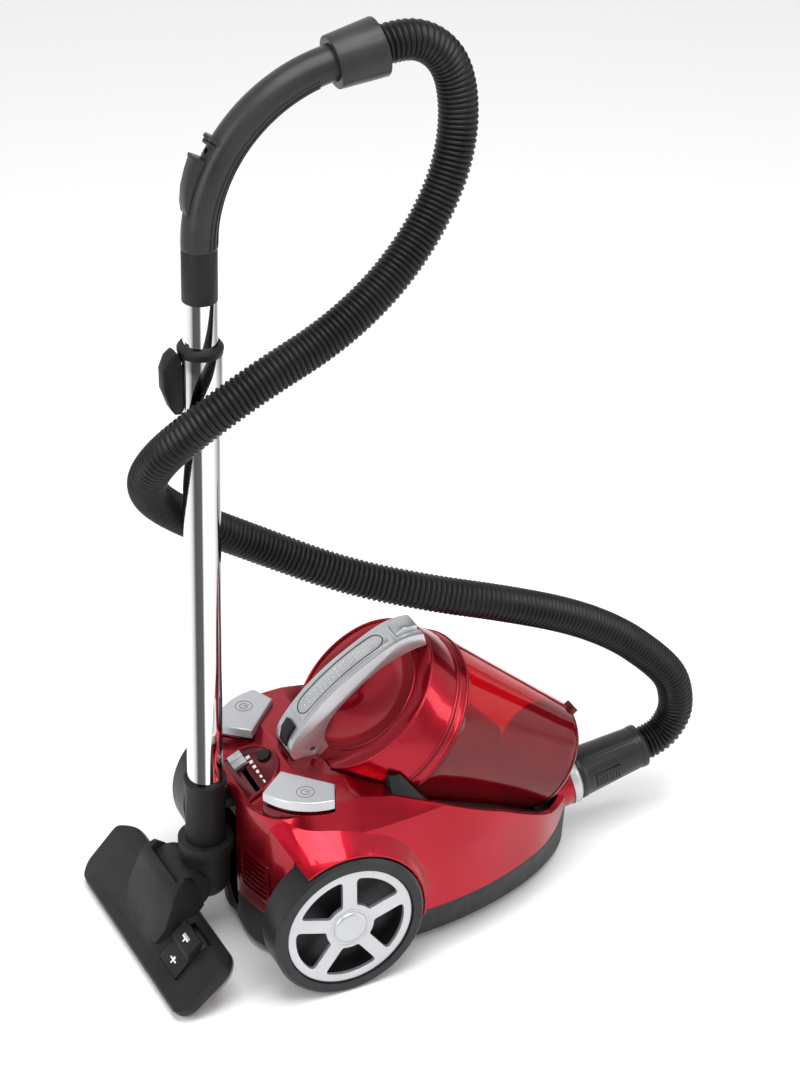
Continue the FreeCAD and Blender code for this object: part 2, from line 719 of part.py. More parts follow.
def make_rear_wheel(name, side):
    """One rear wheel: tyre, dark hub dish, and spoked disc with its raised cap."""
    axle_z = size("tyre_radius")
    outer = side * size("track_outer")
    width = size("tyre_width")
    centre = Vector(outer, 0, axle_z)
    inward = RIGHT * -side

    tread = rod("sizes.tyre_radius", width - 6.0, centre + inward * 3.0, inward)
    radius = size("tyre_radius")
    back_edge = centre + inward * (width - 3.0)
    shoulders = [taper(radius - 3.0, radius, 3.0, centre, inward),
                 taper(radius, radius - 3.0, 3.0, back_edge, inward)]
    bead = rod("sizes.tyre_radius - sizes.tyre_depth", width + 4.0, centre - inward * 2.0, inward)
    finish(cut(fuse(tread, *shoulders), bead), name + "_tyre", BODY_FRAME)

    dish = rod(size("tyre_radius") - size("tyre_depth") - 0.05, width - 4.0, centre + inward * 2.0, inward)
    seat = rod(size("disc_radius") + 0.05, 5.2, centre + inward * 1.9, inward)
    room = rod(size("tyre_radius") - size("tyre_depth") - 4.0, 22.0, centre + inward * 1.9, inward)
    bore = rod(size("axle_radius") + size("bearing_gap"), width + 4.0, centre - inward * 2.0, inward)
    core = rod("sizes.hub_radius", 20.0, centre + inward * 7.05, inward)
    back_room = tube(size("tyre_radius") - size("tyre_depth") - 5.0, 20.0, 8.0,
                     centre + inward * (width - 9.0), inward)
    finish(cut(fuse(cut(dish, room, back_room), core), bore, seat), name + "_hub", BODY_FRAME)

    disc = doc.addObject("PartDesign::Body", "disc")
    ring = [Part.Circle(ORIGIN, UP, size("disc_radius"))]
    pad(disc, sketch_on(disc, "YZ_Plane", ring), "sizes.disc_thick")
    hole = [Part.Circle(ORIGIN, UP, size("axle_radius") + 0.4)]
    pocket(disc, sketch_on(disc, "YZ_Plane", hole), 30.0, side="Symmetric")
    half_spoke = size("spoke_width") / 2.0
    inner, outer_edge = size("window_inner"), size("window_outer")
    half_step = math.pi / 5.0

    def rim_spot(radius, sign):
        turn = half_step - math.asin(half_spoke / radius)
        return Vector(radius * math.sin(sign * turn), radius * math.cos(turn), 0)
    window = [Part.Arc(rim_spot(outer_edge, -1), Vector(0, outer_edge, 0), rim_spot(outer_edge, 1)),
              Part.LineSegment(rim_spot(outer_edge, 1), rim_spot(inner, 1)),
              Part.Arc(rim_spot(inner, 1), Vector(0, inner, 0), rim_spot(inner, -1)),
              Part.LineSegment(rim_spot(inner, -1), rim_spot(outer_edge, -1))]
    opening = pocket(disc, sketch_on(disc, "YZ_Plane", window), 30.0, side="Symmetric")
    polar(disc, opening, 5, "X_Axis")
    face_x = 0.0 if side < 0 else size("disc_thick")
    pad(disc, sketch_on(disc, "YZ_Plane", [Part.Circle(ORIGIN, UP, size("cap_radius"))], face_x), 1.9,
        backwards=side < 0)
    crown = [Part.Circle(ORIGIN, UP, size("cap_radius") - 2.0)]
    pad(disc, sketch_on(disc, "YZ_Plane", crown, face_x + side * 1.9), 1.5, backwards=side < 0)
    disc_frame = Placement(centre + inward * (2.0 if side < 0 else 7.0), Rotation())
    finish(disc, name + "_disc", BODY_FRAME.multiply(disc_frame))


def make_caster():
    pivot = Vector(0, size("caster_y"), 0)
    axle = pivot + BACK * size("caster_trail") + UP * size("caster_radius")
    stem = rod(5.0, 24.0, pivot + UP * 33.5)
    plate = block(26.0, 32.0, 3.0, pivot + Vector(-13, -12, 32.0))
    cheeks = [block(3.0, 18.0, 23.0, axle + Vector(offset, -9, -4.5)) for offset in (-10.0, 7.0)]
    pin = rod(2.0, 20.0, axle - RIGHT * 10.0, RIGHT)
    finish(fuse(stem, plate, *cheeks, pin), "caster_fork", BODY_FRAME)
    wheel = cut(rod("sizes.caster_radius", "sizes.caster_width", axle - RIGHT * 6.0, RIGHT),
                rod(2.06, 20.0, axle - RIGHT * 10.0, RIGHT))
    finish(wheel, "caster_wheel", BODY_FRAME)


# ---------------------------------------------------------------- dust bin pieces

FACE_ORIGIN = Vector(0, LID_FACE[0], LID_FACE[1])
FACE_OUT = slope_axis(LID_FACE) * -1.0
FACE_RISE = Vector(0, -math.sin(math.radians(LID_FACE[3])), math.cos(math.radians(LID_FACE[3])))


def on_face(along, out):
    """Point of the middle plane, up along the lid's face and out from it, in sketch axes."""
    spot = FACE_ORIGIN + FACE_RISE * along + FACE_OUT * out
    return Vector(spot.y, spot.z, 0)


def make_bin_shells():
    wall = size("bin_wall")
    lid = bin_loft((LID_FACE, LID_SEAM))
    room = bin_loft((moved(LID_FACE, wall, -wall), moved(LID_SEAM, 2.0, -wall + 0.3)))
    bowl_radius, bowl_lift = 78.0, 46.0
    centre = FACE_ORIGIN + FACE_OUT * bowl_lift
    bowl = common(ball(bowl_radius + wall, centre), bin_loft((LID_FACE, LID_SEAM)))
    finish(cut(fuse(cut(lid, room), bowl), ball(bowl_radius, centre)), "bin_lid", BODY_FRAME)

    ring = cut(bin_loft((moved(LID_SEAM, 0.05), RING_FRONT)),
               bin_loft((moved(LID_SEAM, -1.0, -wall - 0.4), moved(RING_FRONT, 1.0, -wall - 0.4))))
    finish(ring, "bin_ring", BODY_FRAME)

    body = cut(bin_loft((moved(RING_FRONT, 0.05), BIN_FRONT)),
               bin_loft((moved(RING_FRONT, -1.0, -wall + 0.1), moved(BIN_FRONT, 1.0, -wall - 0.1))))
    rail = doc.addObject("PartDesign::Body", "rail")
    top = [Vector(-190, 262, 0), Vector(-182, 273.5, 0), Vector(-308, 163.5, 0), Vector(-301, 150, 0)]
    pad(rail, sketch_on(rail, "YZ_Plane", lines(top)), 9.0, side="Symmetric")
    inner = bin_loft((moved(RING_FRONT, -20.0, -wall + 0.1), moved(BIN_FRONT, 20.0, -wall - 0.1)))
    finish(fuse(body, cut(rail, inner, bin_loft((moved(LID_SEAM, 0, 3), moved(RING_FRONT, 0.1, 3))))),
           "bin_container", BODY_FRAME)

    door = bin_loft((moved(BIN_FRONT, 0.05), moved(BIN_FRONT, size("door_thick"), -2.0)))
    inlet = rod("sizes.port_bore", 60.0, PORT - port_axis() * 90.0, port_axis())
    finish(cut(door, inlet), "bin_door", BODY_FRAME)


def make_door_latch():
    base = block(14.0, 7.0, 15.0, Vector(-7, -317, 148))
    base.Placement = Placement(Vector(-7, -313.5, 163.5), Rotation(RIGHT, -38.0 - 90.0))
    door_front = moved(BIN_FRONT, size("door_thick") + 0.1, -1.9)
    end = bin_loft((moved(RING_FRONT, 0, 0.1), moved(BIN_FRONT, 0, 0.1), door_front))
    return finish(cut(base, end), "door_latch", BODY_FRAME)


def make_bin_insides():
    start = Vector(0, RING_FRONT[0], RING_FRONT[1] + 2.0)
    axis = (Vector(0, BIN_FRONT[0], BIN_FRONT[1]) - start).normalize()
    plate = rod(86.0, 3.0, start + axis * 4.0, axis)
    limit = bin_loft((moved(LID_SEAM, 0, -6.0), moved(RING_FRONT, 0, -6.0), moved(BIN_FRONT, 0, -6.0)))
    eye = rod(30.0, 20.0, start, axis)
    cone = cut(taper(50.0, "sizes.cone_bottom", 90.0, start + axis * 34.0, axis),
               taper(47.6, 17.6, 90.0, start + axis * 33.9, axis))
    core = tube(50.0, 47.6, 28.0, start + axis * 6.5, axis)
    finish(cut(common(fuse(plate, core, cone), limit), eye), "cyclone_cone", BODY_FRAME)
    pleats = []
    pleat_count = 24
    for index in range(pleat_count):
        turn = Rotation(axis, index * 360.0 / pleat_count)
        fin = block(2.2, 6.0, 44.0, ORIGIN)
        arm = turn.multVec(RIGHT * 37.0)
        stand = turn.multiply(Rotation(UP, axis))
        fin.Placement = Placement(start + axis * 8.0 + arm, stand)
        pleats.append(fin)
    sleeve = tube(39.0, 31.0, 44.0, start + axis * 8.0, axis)
    finish(fuse(sleeve, *pleats), "pleated_filter", BODY_FRAME)


HANDLE_OUTER = ((-91, 10), (-88, 30), (-68, 39), (-40, 43.5), (-5, 43.5), (35, 37.5), (70, 27), (86, 14))
HANDLE_INNER = ((80, 1), (62, 12), (32, 22), (-8, 25.5), (-40, 22), (-56, 12), (-60, -3))


# Outlines of the handle's two buttons, up along the lid's face and out from it. The bin's release
# sits at the lower end, and the emptying door's opener at the upper end.
LOCK_OUTLINE = ((-86, 24), (-89, 31), (-78, 40.5), (-67, 43.5), (-67, 24))
OPENER_OUTLINE = ((66, 22), (66, 30.5), (76, 30.5), (88, 20), (82, 12))


def button_room(outline, width):
    """Room for a button, from a little under its foot at full travel to well above its cap."""
    along = [spot[0] for spot in outline]
    low = min(out for _, out in outline) - 3.0
    inner_gap, outer_gap = 0.4, 3.0
    start, stop = min(along) - outer_gap, max(along) + inner_gap
    if min(along) > 0:
        start, stop = min(along) - inner_gap, max(along) + outer_gap
    corners = [on_face(start, low), on_face(stop, low), on_face(stop, 60.0), on_face(start, 60.0)]
    return prism([(spot.x, spot.y) for spot in corners], "X", -width / 2.0, width)


def make_carry_handle():
    body = doc.addObject("PartDesign::Body", "handle")
    outer = Part.BSplineCurve()
    outer.interpolate([on_face(*spot) for spot in HANDLE_OUTER])
    inner = Part.BSplineCurve()
    inner.interpolate([on_face(*spot) for spot in HANDLE_INNER])
    ends = [Part.LineSegment(on_face(*HANDLE_OUTER[-1]), on_face(*HANDLE_INNER[0])),
            Part.LineSegment(on_face(*HANDLE_INNER[-1]), on_face(-78, -3)),
            Part.LineSegment(on_face(-78, -3), on_face(*HANDLE_OUTER[0]))]
    pad(body, sketch_on(body, "YZ_Plane", [outer, inner] + ends), "sizes.handle_width", side="Symmetric")
    doc.recompute()
    centre = FACE_ORIGIN + FACE_OUT * 46.0
    lid_outside = bin_loft((moved(LID_FACE, 0, 0.02), moved(LID_SEAM, 0, 0.02)))
    lid_skin = cut(lid_outside, ball(78.0 - 0.02, centre))
    pivot_dimple = rod(3.0, 60.0, FACE_ORIGIN + FACE_RISE * -72.0 + FACE_OUT * 12.0 - RIGHT * 30, RIGHT)
    rooms = [button_room(LOCK_OUTLINE, 18.0), button_room(OPENER_OUTLINE, 21.0)]
    whole = cut(body, lid_skin, pivot_dimple, make_grip_inset(), *rooms)
    return finish(whole, "carry_handle", BODY_FRAME)


def make_grip_inset():
    body = doc.addObject("PartDesign::Body", "inset")
    spots = [spot for spot in HANDLE_OUTER if -60 < spot[0] < 60]
    row = [(-58.0, 41.2)] + spots + [(58.0, 31.0)]
    top = Part.BSplineCurve()
    top.interpolate([on_face(along, out + 1.4) for along, out in row])
    bottom = Part.BSplineCurve()
    bottom.interpolate([on_face(along, out - 1.2) for along, out in row])
    ends = [Part.LineSegment(top.EndPoint, bottom.EndPoint),
            Part.LineSegment(bottom.StartPoint, top.StartPoint)]
    pad(body, sketch_on(body, "YZ_Plane", [top, bottom] + ends), "sizes.grip_width", side="Symmetric")
    return body


def make_handle_button(outline, width, label):
    body = doc.addObject("PartDesign::Body", "button")
    edges = lines([tuple(on_face(*spot)) for spot in outline])
    pad(body, sketch_on(body, "YZ_Plane", edges), width, side="Symmetric")
    return finish(body, label, BODY_FRAME)


# ---------------------------------------------------------------- hose connector

def make_connector():
    axis = port_axis()
    start = PORT + axis * 4.0
    length = size("connector_length")
    sleeve = taper(26.9, 22.4, length, start, axis)
    lips = [rod(27.4, 5.0, start, axis), rod(23.4, 6.0, start + axis * (length - 6.0), axis)]
    mouth = rod(25.9, 8.4, start - axis * 0.1, axis)
    seat = rod(24.7, 3.6, start + axis * 8.2, axis)
    bore = rod("sizes.port_bore", length, start + axis * 2.0, axis)
    clip_room = [block(9.0, 30.0, 16.0, ORIGIN) for side in (-1, 1)]
    for side, room in zip((-1, 1), clip_room):
        spot = start + axis * 46.5 + Vector(side * 24.4 - 4.5, 0, -8.0)
        room.Placement = Placement(spot, Rotation(BACK, axis * -1.0))
    body = cut(fuse(sleeve, *lips), mouth, seat, bore, *clip_room)
    finish(body, "hose_connector", BODY_FRAME)
    for side, label in ((-1, "release_clip_right"), (1, "release_clip_left")):
        clip = block(4.4, 29.0, 15.0, ORIGIN)
        spot = start + axis * 46.0 + Vector(side * 23.6 - 2.2, 0, -7.5)
        clip.Placement = Placement(spot, Rotation(BACK, axis * -1.0))
        finish(clip, label, BODY_FRAME)


# ---------------------------------------------------------------- wand, handle and collar
# Drawn in the wand's frame: heights along the tube, -Y towards the machine.

def grip_point(angle):
    """Point of the grip's centre line after a turn of the bend, and its direction there."""
    turn = math.radians(angle)
    radius = size("bend_radius")
    spot = Vector(0, -radius * (1.0 - math.cos(turn)), size("bend_start") + radius * math.sin(turn))
    return spot, Vector(0, -math.sin(turn), math.cos(turn))


def bent_rod(radius, foot, lead_out):
    """Rod that goes straight up, round the bend and straight on."""
    start = Vector(0, 0, foot)
    bend_foot, _ = grip_point(0.0)
    bend_top, ahead = grip_point(size("bend_sweep"))
    middle, _ = grip_point(size("bend_sweep") / 2.0)
    end = bend_top + ahead * lead_out
    path = Part.Wire([Part.LineSegment(start, bend_foot).toShape(),
                      Part.Arc(bend_foot, middle, bend_top).toShape(),
                      Part.LineSegment(bend_top, end).toShape()])
    spine = shaped("spine", path)
    ring = shaped("ring", Part.Wire([Part.Circle(start, UP, radius).toShape()]))
    sweep = doc.addObject("Part::Sweep", "sweep")
    sweep.Sections = [ring]
    sweep.Spine = (spine, ["Edge1", "Edge2", "Edge3"])
    sweep.Solid = True
    return sweep


def make_wand_tubes():
    foot = size("tube_outer_foot")
    outer = tube("sizes.tube_outer_radius", "sizes.tube_outer_bore",
                 "sizes.tube_outer_top - sizes.tube_outer_foot", Vector(0, 0, foot))
    finish(outer, "wand_outer_tube", WAND_FRAME)
    sleeve_foot = size("sleeve_foot")
    sleeve = fuse(rod("sizes.sleeve_radius", "sizes.tube_outer_top - sizes.sleeve_foot - 6",
                      Vector(0, 0, sleeve_foot + 6.0)),
                  taper("sizes.tube_outer_radius + 0.5", "sizes.sleeve_radius", 6.0,
                        Vector(0, 0, sleeve_foot)))
    window = block(15.0, 20.0, 56.0, Vector(-7.5, 14.0, 600.0))
    bore = rod("sizes.tube_outer_radius + 0.05", 100.0, Vector(0, 0, sleeve_foot - 2.0))
    finish(cut(sleeve, bore, window), "telescope_sleeve", WAND_FRAME)
    top = size("tube_outer_top")
    ring = fuse(rod(20.8, 3.5, Vector(0, 0, top)), rod(21.4, 3.0, Vector(0, 0, top + 3.5)),
                taper(21.4, 19.0, 3.5, Vector(0, 0, top + 6.5)))
    ring = cut(ring, rod("sizes.tube_inner_radius + 0.1", 20.0, Vector(0, 0, top - 2.0)))
    finish(ring, "telescope_ring", WAND_FRAME)
    inner = tube("sizes.tube_inner_radius", "sizes.tube_inner_bore",
                 "sizes.tube_inner_top - sizes.tube_inner_foot", Vector(0, 0, size("tube_inner_foot")))
    finish(inner, "wand_inner_tube", WAND_FRAME)


def make_telescope_latch():
    body = doc.addObject("PartDesign::Body", "latch")
    outline = [(18.2, 608.0), (18.2, 646.0), (22.6, 664.0), (27.0, 668.0), (34.0, 662.0), (38.5, 650.0),
               (38.0, 630.0), (31.0, 610.0), (27.0, 604.0), (22.6, 604.0)]
    pad(body, sketch_on(body, "YZ_Plane", lines([(y, z, 0) for y, z in outline])), 14.0, side="Symmetric")
    return finish(body, "telescope_latch", WAND_FRAME)


def outward(along):
    """Direction out of the bend, away from its centre."""
    return Vector(0, along.z, -along.y)


# Outline of the air slide: angle round the bend, height above the grip's skin.
VALVE_PROFILE = ((10.5, 0.6), (13.5, 3.6), (18.0, 6.4), (23.0, 8.2), (26.8, 9.4), (27.0, 10.6),
                 (28.0, 10.6), (28.0, -6.0), (19.0, -4.0), (10.5, -2.0))


def valve_point(angle, height):
    middle, along = grip_point(angle)
    spot = middle + outward(along) * (size("grip_radius") + height)
    return (spot.y, spot.z, 0)


def make_handle():
    cuff_foot = size("tube_inner_top")
    cuff = fuse(rod("sizes.cuff_radius", "sizes.cuff_top - sizes.tube_inner_top", Vector(0, 0, cuff_foot)),
                rod("sizes.tube_inner_bore - 0.05", 32.0, Vector(0, 0, cuff_foot - 30.0)))
    cuff_bore = rod("sizes.grip_bore", 100.0, Vector(0, 0, cuff_foot - 31.0))
    finish(cut(cuff, cuff_bore), "handle_cuff", WAND_FRAME)

    grip = bent_rod(size("grip_radius"), size("cuff_top"), size("collar_lead") + 6.0)
    end, ahead = grip_point(size("bend_sweep"))
    barb = rod(20.0, 4.0, end + ahead * (size("collar_lead") + 2.0), ahead)
    bore = bent_rod(size("grip_bore"), size("cuff_top") - 1.0, size("collar_lead") + 9.0)
    stops = []
    for angle, radius in ((32.6, 9.0), (34.0, 10.5)):
        middle, along = grip_point(angle)
        stops.append(rod(radius, 3.0, middle + outward(along) * (size("grip_radius") - 2.0), along))
    middle, along = grip_point(30.6)
    vent = rod(3.0, 20.0, middle + outward(along) * 6.0, outward(along))
    finish(cut(fuse(grip, barb, *stops), bore, vent), "handle_grip", WAND_FRAME)

    slide = doc.addObject("PartDesign::Body", "slide")
    rail = [valve_point(angle, radius) for angle, radius in VALVE_PROFILE]
    pad(slide, sketch_on(slide, "YZ_Plane", lines(rail)), 15.0, side="Symmetric")
    room = bent_rod(size("grip_radius") + size("running_gap"), size("cuff_top") - 2.0, 10.0)
    finish(cut(slide, room), "air_slide", WAND_FRAME)


def make_swivel_collar():
    end, ahead = grip_point(size("bend_sweep"))
    start = end + ahead * (size("collar_lead") - 10.0)
    sleeve = taper(24.4, 27.4, size("collar_length"), start, ahead)
    mouth = rod("sizes.grip_radius + sizes.running_gap", 16.0, start - ahead, ahead)
    room = rod(20.3, 12.0, start + ahead * 8.0, ahead)
    seat = rod(18.2, 60.0, start + ahead * 10.0, ahead)
    return finish(cut(sleeve, mouth, room, seat), "swivel_collar", WAND_FRAME)


# ---------------------------------------------------------------- neck and floor nozzle

def make_neck():
    foot = 118.3
    neck = fuse(rod(20.3, 72.0, Vector(0, 0, foot)), rod(21.4, 4.0, Vector(0, 0, foot + 68.0)))
    arm = block(16.0, 19.6, 10.0, Vector(-8, -38.6, 152))
    tongue = block(16.0, 4.0, 24.0, Vector(-8, -38.6, 138))
    bore = rod(15.0, 80.0, Vector(0, 0, foot - 2.0))
    socket = rod("sizes.tube_outer_radius + 0.05", 60.0, Vector(0, 0, size("tube_outer_foot")))
    finish(cut(fuse(neck, arm, tongue), bore, socket), "neck_tube", WAND_FRAME)
    slot = block(17.4, 7.0, 40.0, Vector(-1.7, 50.6, 130))
    mouth = block(17.4, 12.0, 16.5, Vector(-1.7, 55.0, 150.5))
    bracket = block(34.0, 16.0, 30.0, Vector(-10, 46.0, 136))
    neck_room = rod(20.8, 200.0, WAND_FOOT.Base, WAND_FOOT.Rotation.multVec(UP))
    finish(cut(bracket, slot, mouth, neck_room), "parking_bracket", BODY_FRAME)


def make_elbow():
    """Swivel elbow: ring and neck on the wand's line, then a barrel across the nozzle's pivot."""
    pivot = NOZZLE_SPOT.multVec(Vector(0, -size("pivot_back"), size("pivot_rise")))
    across = NOZZLE_SPOT.Rotation.multVec(RIGHT)
    heel = WAND_FOOT.multVec(Vector(0, 0, size("elbow_rise")))
    along = WAND_FOOT.Rotation.multVec(UP)
    ring = rod("sizes.ring_radius", 13.0, heel + along * 33.0, along)
    throat = rod("sizes.elbow_radius", 34.0, heel, along)
    barrel = rod("sizes.barrel_radius", 60.0, pivot - across * 30.0, across)
    reach = pivot - heel
    link = rod(16.5, reach.Length, heel, reach)
    bores = [rod(15.0, 60.0, heel, along), rod(12.0, reach.Length + 30.0, heel, reach)]
    pin_hole = rod(3.06, 80.0, pivot - across * 40.0, across)
    whole = cut(fuse(ball("sizes.elbow_radius", heel), ring, throat, barrel, link), *bores, pin_hole)
    finish(whole, "neck_elbow", BODY_FRAME)


NOZZLE_PROFILE = ((0.0, 0.0), (0.0, 10.0), (-3.0, 13.5), (-62.0, 20.0), (-66.0, 19.0), (-78.0, 8.0),
                  (-78.0, 0.0))
HOOD_PROFILE = ((-20.0, 10.0), (-18.0, 14.5), (-24.0, 18.5), (-66.0, 41.5), (-76.0, 48.0), (-88.0, 51.0),
                (-96.0, 49.8), (-99.5, 36.0), (-96.0, 24.0), (-88.0, 10.0))
HOOD_PLAN = ((-37.0, -100.0), (37.0, -100.0), (44.0, -70.0), (46.0, -46.0), (38.0, -28.0), (20.0, -18.5),
             (-20.0, -18.5), (-38.0, -28.0), (-46.0, -46.0), (-44.0, -70.0))


def rounded_plan(half, front, back, corner, low, height):
    """Rectangle with round corners in plan, as a prism."""
    body = [block(2 * half - 2 * corner, front - back, height, Vector(-half + corner, back, low)),
            block(2 * half, front - back - 2 * corner, height, Vector(-half, back + corner, low))]
    for x in (-half + corner, half - corner):
        for y in (front - corner, back + corner):
            body.append(rod(corner, height, Vector(x, y, low)))
    return fuse(*body)


def barrel_room(grow, half):
    start = Vector(-half, -size("pivot_back"), size("pivot_rise"))
    return rod(size("barrel_radius") + grow, 2 * half, start, RIGHT)


ROCKER_X = -72.0
ROCKER_PIVOT = (-45.5, 14.5)


def make_nozzle():
    half = size("nozzle_width") / 2.0
    slab = common(prism(NOZZLE_PROFILE, "X", -half, 2 * half),
                  rounded_plan(half, 0.5, -78.5, 22.0, -1.0, 40.0))
    hood = common(prism(HOOD_PROFILE, "X", -half, 2 * half), prism(HOOD_PLAN, "Z", 0.0, 60.0))
    inner = [(y * 0.955 - 1.8, z - 2.6) for y, z in NOZZLE_PROFILE]
    room = common(prism([(y, max(z, -1.0)) for y, z in inner], "X", -half + 3.0, 2 * half - 6.0),
                  rounded_plan(half - 3.0, -2.0, -76.0, 20.0, -2.0, 40.0))
    shell = fuse(cut(slab, room), hood)
    mouth = block(64.0, 40.0, 60.0, Vector(-32, -128, -5))
    rocker_room = block(40.0, 50.0, 30.0, Vector(ROCKER_X - 20.0, -71.5, 12.0))
    pin_holes = rod(2.06, 44.0, Vector(ROCKER_X - 22.0, *ROCKER_PIVOT), RIGHT)
    floor_cut = block(2 * half + 10.0, 90.0, 3.4, Vector(-half - 5.0, -82.0, -0.2))
    sweep_room = [rod(19.0, 60.0, Vector(0, -size("pivot_back"), size("pivot_rise")), Vector(0, y, z))
                  for y, z in ((-1.0, -1.0), (-1.0, -0.55), (-1.0, -0.1))]
    duct = block(52.0, 34.0, 14.0, Vector(-26, -72, 2.0))
    cover = cut(shell, barrel_room(0.8, 31.5), mouth, rocker_room, pin_holes, floor_cut, duct, *sweep_room)
    pins = [rod(3.0, 14.0, Vector(side * 22.0, -size("pivot_back"), size("pivot_rise")), RIGHT * side)
            for side in (-1, 1)]
    finish(fuse(cover, *pins), "nozzle_cover", NOZZLE_FRAME)

    plate = common(block(2 * half, 78.0, 3.1, Vector(-half, -78, 0.0)),
                   rounded_plan(half, 0.0, -78.0, 22.0, -1.0, 6.0))
    suction = block(200.0, 14.0, 8.0, Vector(-100, -38, -2))
    throat = block(52.0, 30.0, 8.0, Vector(-26, -60, -2))
    back_notch = block(66.0, 20.0, 10.0, Vector(-33, -80, -3))
    brush_slot = block(230.0, 7.0, 8.0, Vector(-115, -15.5, -2))
    roller_slots = [block(18.0, 11.0, 8.0, Vector(x - 9.0, -70.5, -2)) for x in (-92.0, 92.0)]
    finish(cut(plate, suction, throat, back_notch, brush_slot, barrel_room(0.8, 31.5), *roller_slots),
           "nozzle_sole", NOZZLE_FRAME)


def make_rocker():
    outline = ((-68.5, 24.0), (-68.0, 27.5), (-49.0, 27.0), (-44.0, 20.5), (-23.5, 18.6), (-22.5, 16.5),
               (-40.0, 14.5), (-45.5, 12.6), (-52.0, 14.5))
    body = doc.addObject("PartDesign::Body", "rocker")
    edges = lines([(y, z, 0) for y, z in outline])
    pad(body, sketch_on(body, "YZ_Plane", edges), 38.0, side="Symmetric")
    pin = rod(2.0, 43.0, Vector(-21.5, *ROCKER_PIVOT), RIGHT)
    place = NOZZLE_FRAME.multiply(Placement(Vector(ROCKER_X, 0, 0), Rotation()))
    finish(fuse(body, pin), "nozzle_rocker", place)


def make_brush_strip():
    bar = block(228.0, 5.0, 5.0, Vector(-114, -14.5, 3.6))
    tufts = []
    tuft_count = 19
    for index in range(tuft_count):
        x = -108.0 + index * 216.0 / (tuft_count - 1)
        tufts.append(rod(1.9, 3.5, Vector(x, -12.0, 0.5)))
    finish(fuse(bar, *tufts), "brush_strip", NOZZLE_FRAME)


def make_rollers():
    spots = (-92.0, 92.0)
    wheels = [cut(rod(4.2, 14.0, Vector(x - 7.0, -65.0, 4.4), RIGHT),
                  rod(1.06, 20.0, Vector(x - 9.0, -65.0, 4.4), RIGHT))
              for x in spots]
    doc.recompute()
    pair = Part.makeCompound([wheel.Shape for wheel in wheels])
    finish(shaped("rollers", pair), "nozzle_rollers", NOZZLE_FRAME)


# ---------------------------------------------------------------- hose
# Route from the swivel collar, round the wand and over the bin to the connector, about the axle
# point. The hose is a plain tube: straight runs joined by the largest arcs that the runs allow.

def hose_ends():
    """Both ends of the hose and the directions in which it leaves them."""
    end, ahead = grip_point(size("bend_sweep"))
    face = end + ahead * (size("collar_lead") - 10.0 + size("collar_length") + HOSE_GAP)
    start = WAND_FOOT.multVec(face)
    start_way = WAND_FOOT.Rotation.multVec(ahead)
    stop = PORT + port_axis() * (4.0 + size("connector_length") + HOSE_GAP)
    return start, start_way, stop, port_axis()


HOSE_GAP = 0.4
HOSE_ROUTE = (
    (6, -150, 918), (5, -169, 897), (4, -177, 866), (2, -176, 826), (-2, -163, 784), (-12, -132, 740),
    (-27, -86, 703), (-41, -28, 674), (-51, 36, 654), (-52, 96, 624), (-30, 136, 582), (22, 134, 522),
    (60, 88, 462), (60, 10, 410), (28, -66, 372), (-6, -146, 349), (-16, -226, 321), (-10, -304, 281),
    (-4, -362, 240), (0, -403, 200), (0, -427, 172), (0, -437, 151), (0, -441, 121), (0, -432, 101),
)


def hose_path():
    start, start_way, stop, stop_way = hose_ends()
    corners = [start, start + start_way * 24.0] + [Vector(*spot) for spot in HOSE_ROUTE]
    corners += [stop + stop_way * 19.0, stop]
    edges = []
    radii = []
    here = corners[0]
    for before, corner, after in zip(corners, corners[1:], corners[2:]):
        back = (before - corner)
        ahead = (after - corner)
        run = min(back.Length, ahead.Length)
        back.normalize()
        ahead.normalize()
        turn = math.pi - back.getAngle(ahead)
        reach = 0.45 * run
        radius = reach / math.tan(turn / 2.0)
        middle_way = (back + ahead).normalize()
        middle = corner + middle_way * (radius / math.cos(turn / 2.0) - radius)
        edges.append(Part.LineSegment(here, corner + back * reach).toShape())
        edges.append(Part.Arc(corner + back * reach, middle, corner + ahead * reach).toShape())
        here = corner + ahead * reach
        radii.append(radius)
    edges.append(Part.LineSegment(here, stop).toShape())
    return Part.Wire(edges), radii


def make_hose():
    path, radii = hose_path()
    start, start_way, stop, _ = hose_ends()
    radius = size("hose_diameter") / 2.0
    ring = Part.Wire([Part.Circle(start, start_way, radius).toShape()])
    solid = path.makePipeShell([ring], True, False)
    print("hose length %.0f mm, radii" % path.Length, [round(value) for value in radii])
    print("hose ends", BODY_FRAME.multVec(start), BODY_FRAME.multVec(stop))
    section = math.pi * radius ** 2
    print("hose volume against section times length: %.4f" % (solid.Volume / (section * path.Length)))
    finish(shaped("hose", solid), "hose", BODY_FRAME)


def make_everything():
    make_chassis_pan()
    make_body_shell()
    make_bin_cradle()
    make_pedal_bases()
    make_pedal("power_pedal", -1)
    make_pedal("cord_pedal", 1)
    make_control_panel()
    make_suction_slider()
    make_bin_full_button()
    make_exhaust()
    make_hose_port()
    make_axle_stubs()
    make_motor()
    make_cord_reel()
    make_cord_outlet()
    make_control_board()
    make_chassis_screws()
    make_rear_wheel("right_wheel", -1)
    make_rear_wheel("left_wheel", 1)
    make_caster()
    make_bin_shells()
    make_door_latch()
    make_bin_insides()
    make_carry_handle()
    finish(make_grip_inset(), "grip_inset", BODY_FRAME)
    make_handle_button(LOCK_OUTLINE, 16.0, "bin_release_button")
    make_handle_button(OPENER_OUTLINE, 20.0, "bin_door_button")
    make_connector()
    make_wand_tubes()
    make_telescope_latch()
    make_handle()
    make_swivel_collar()
    make_neck()
    make_elbow()
    make_nozzle()
    make_rocker()
    make_brush_strip()
    make_rollers()
    make_hose()


make_everything()
doc.recompute()

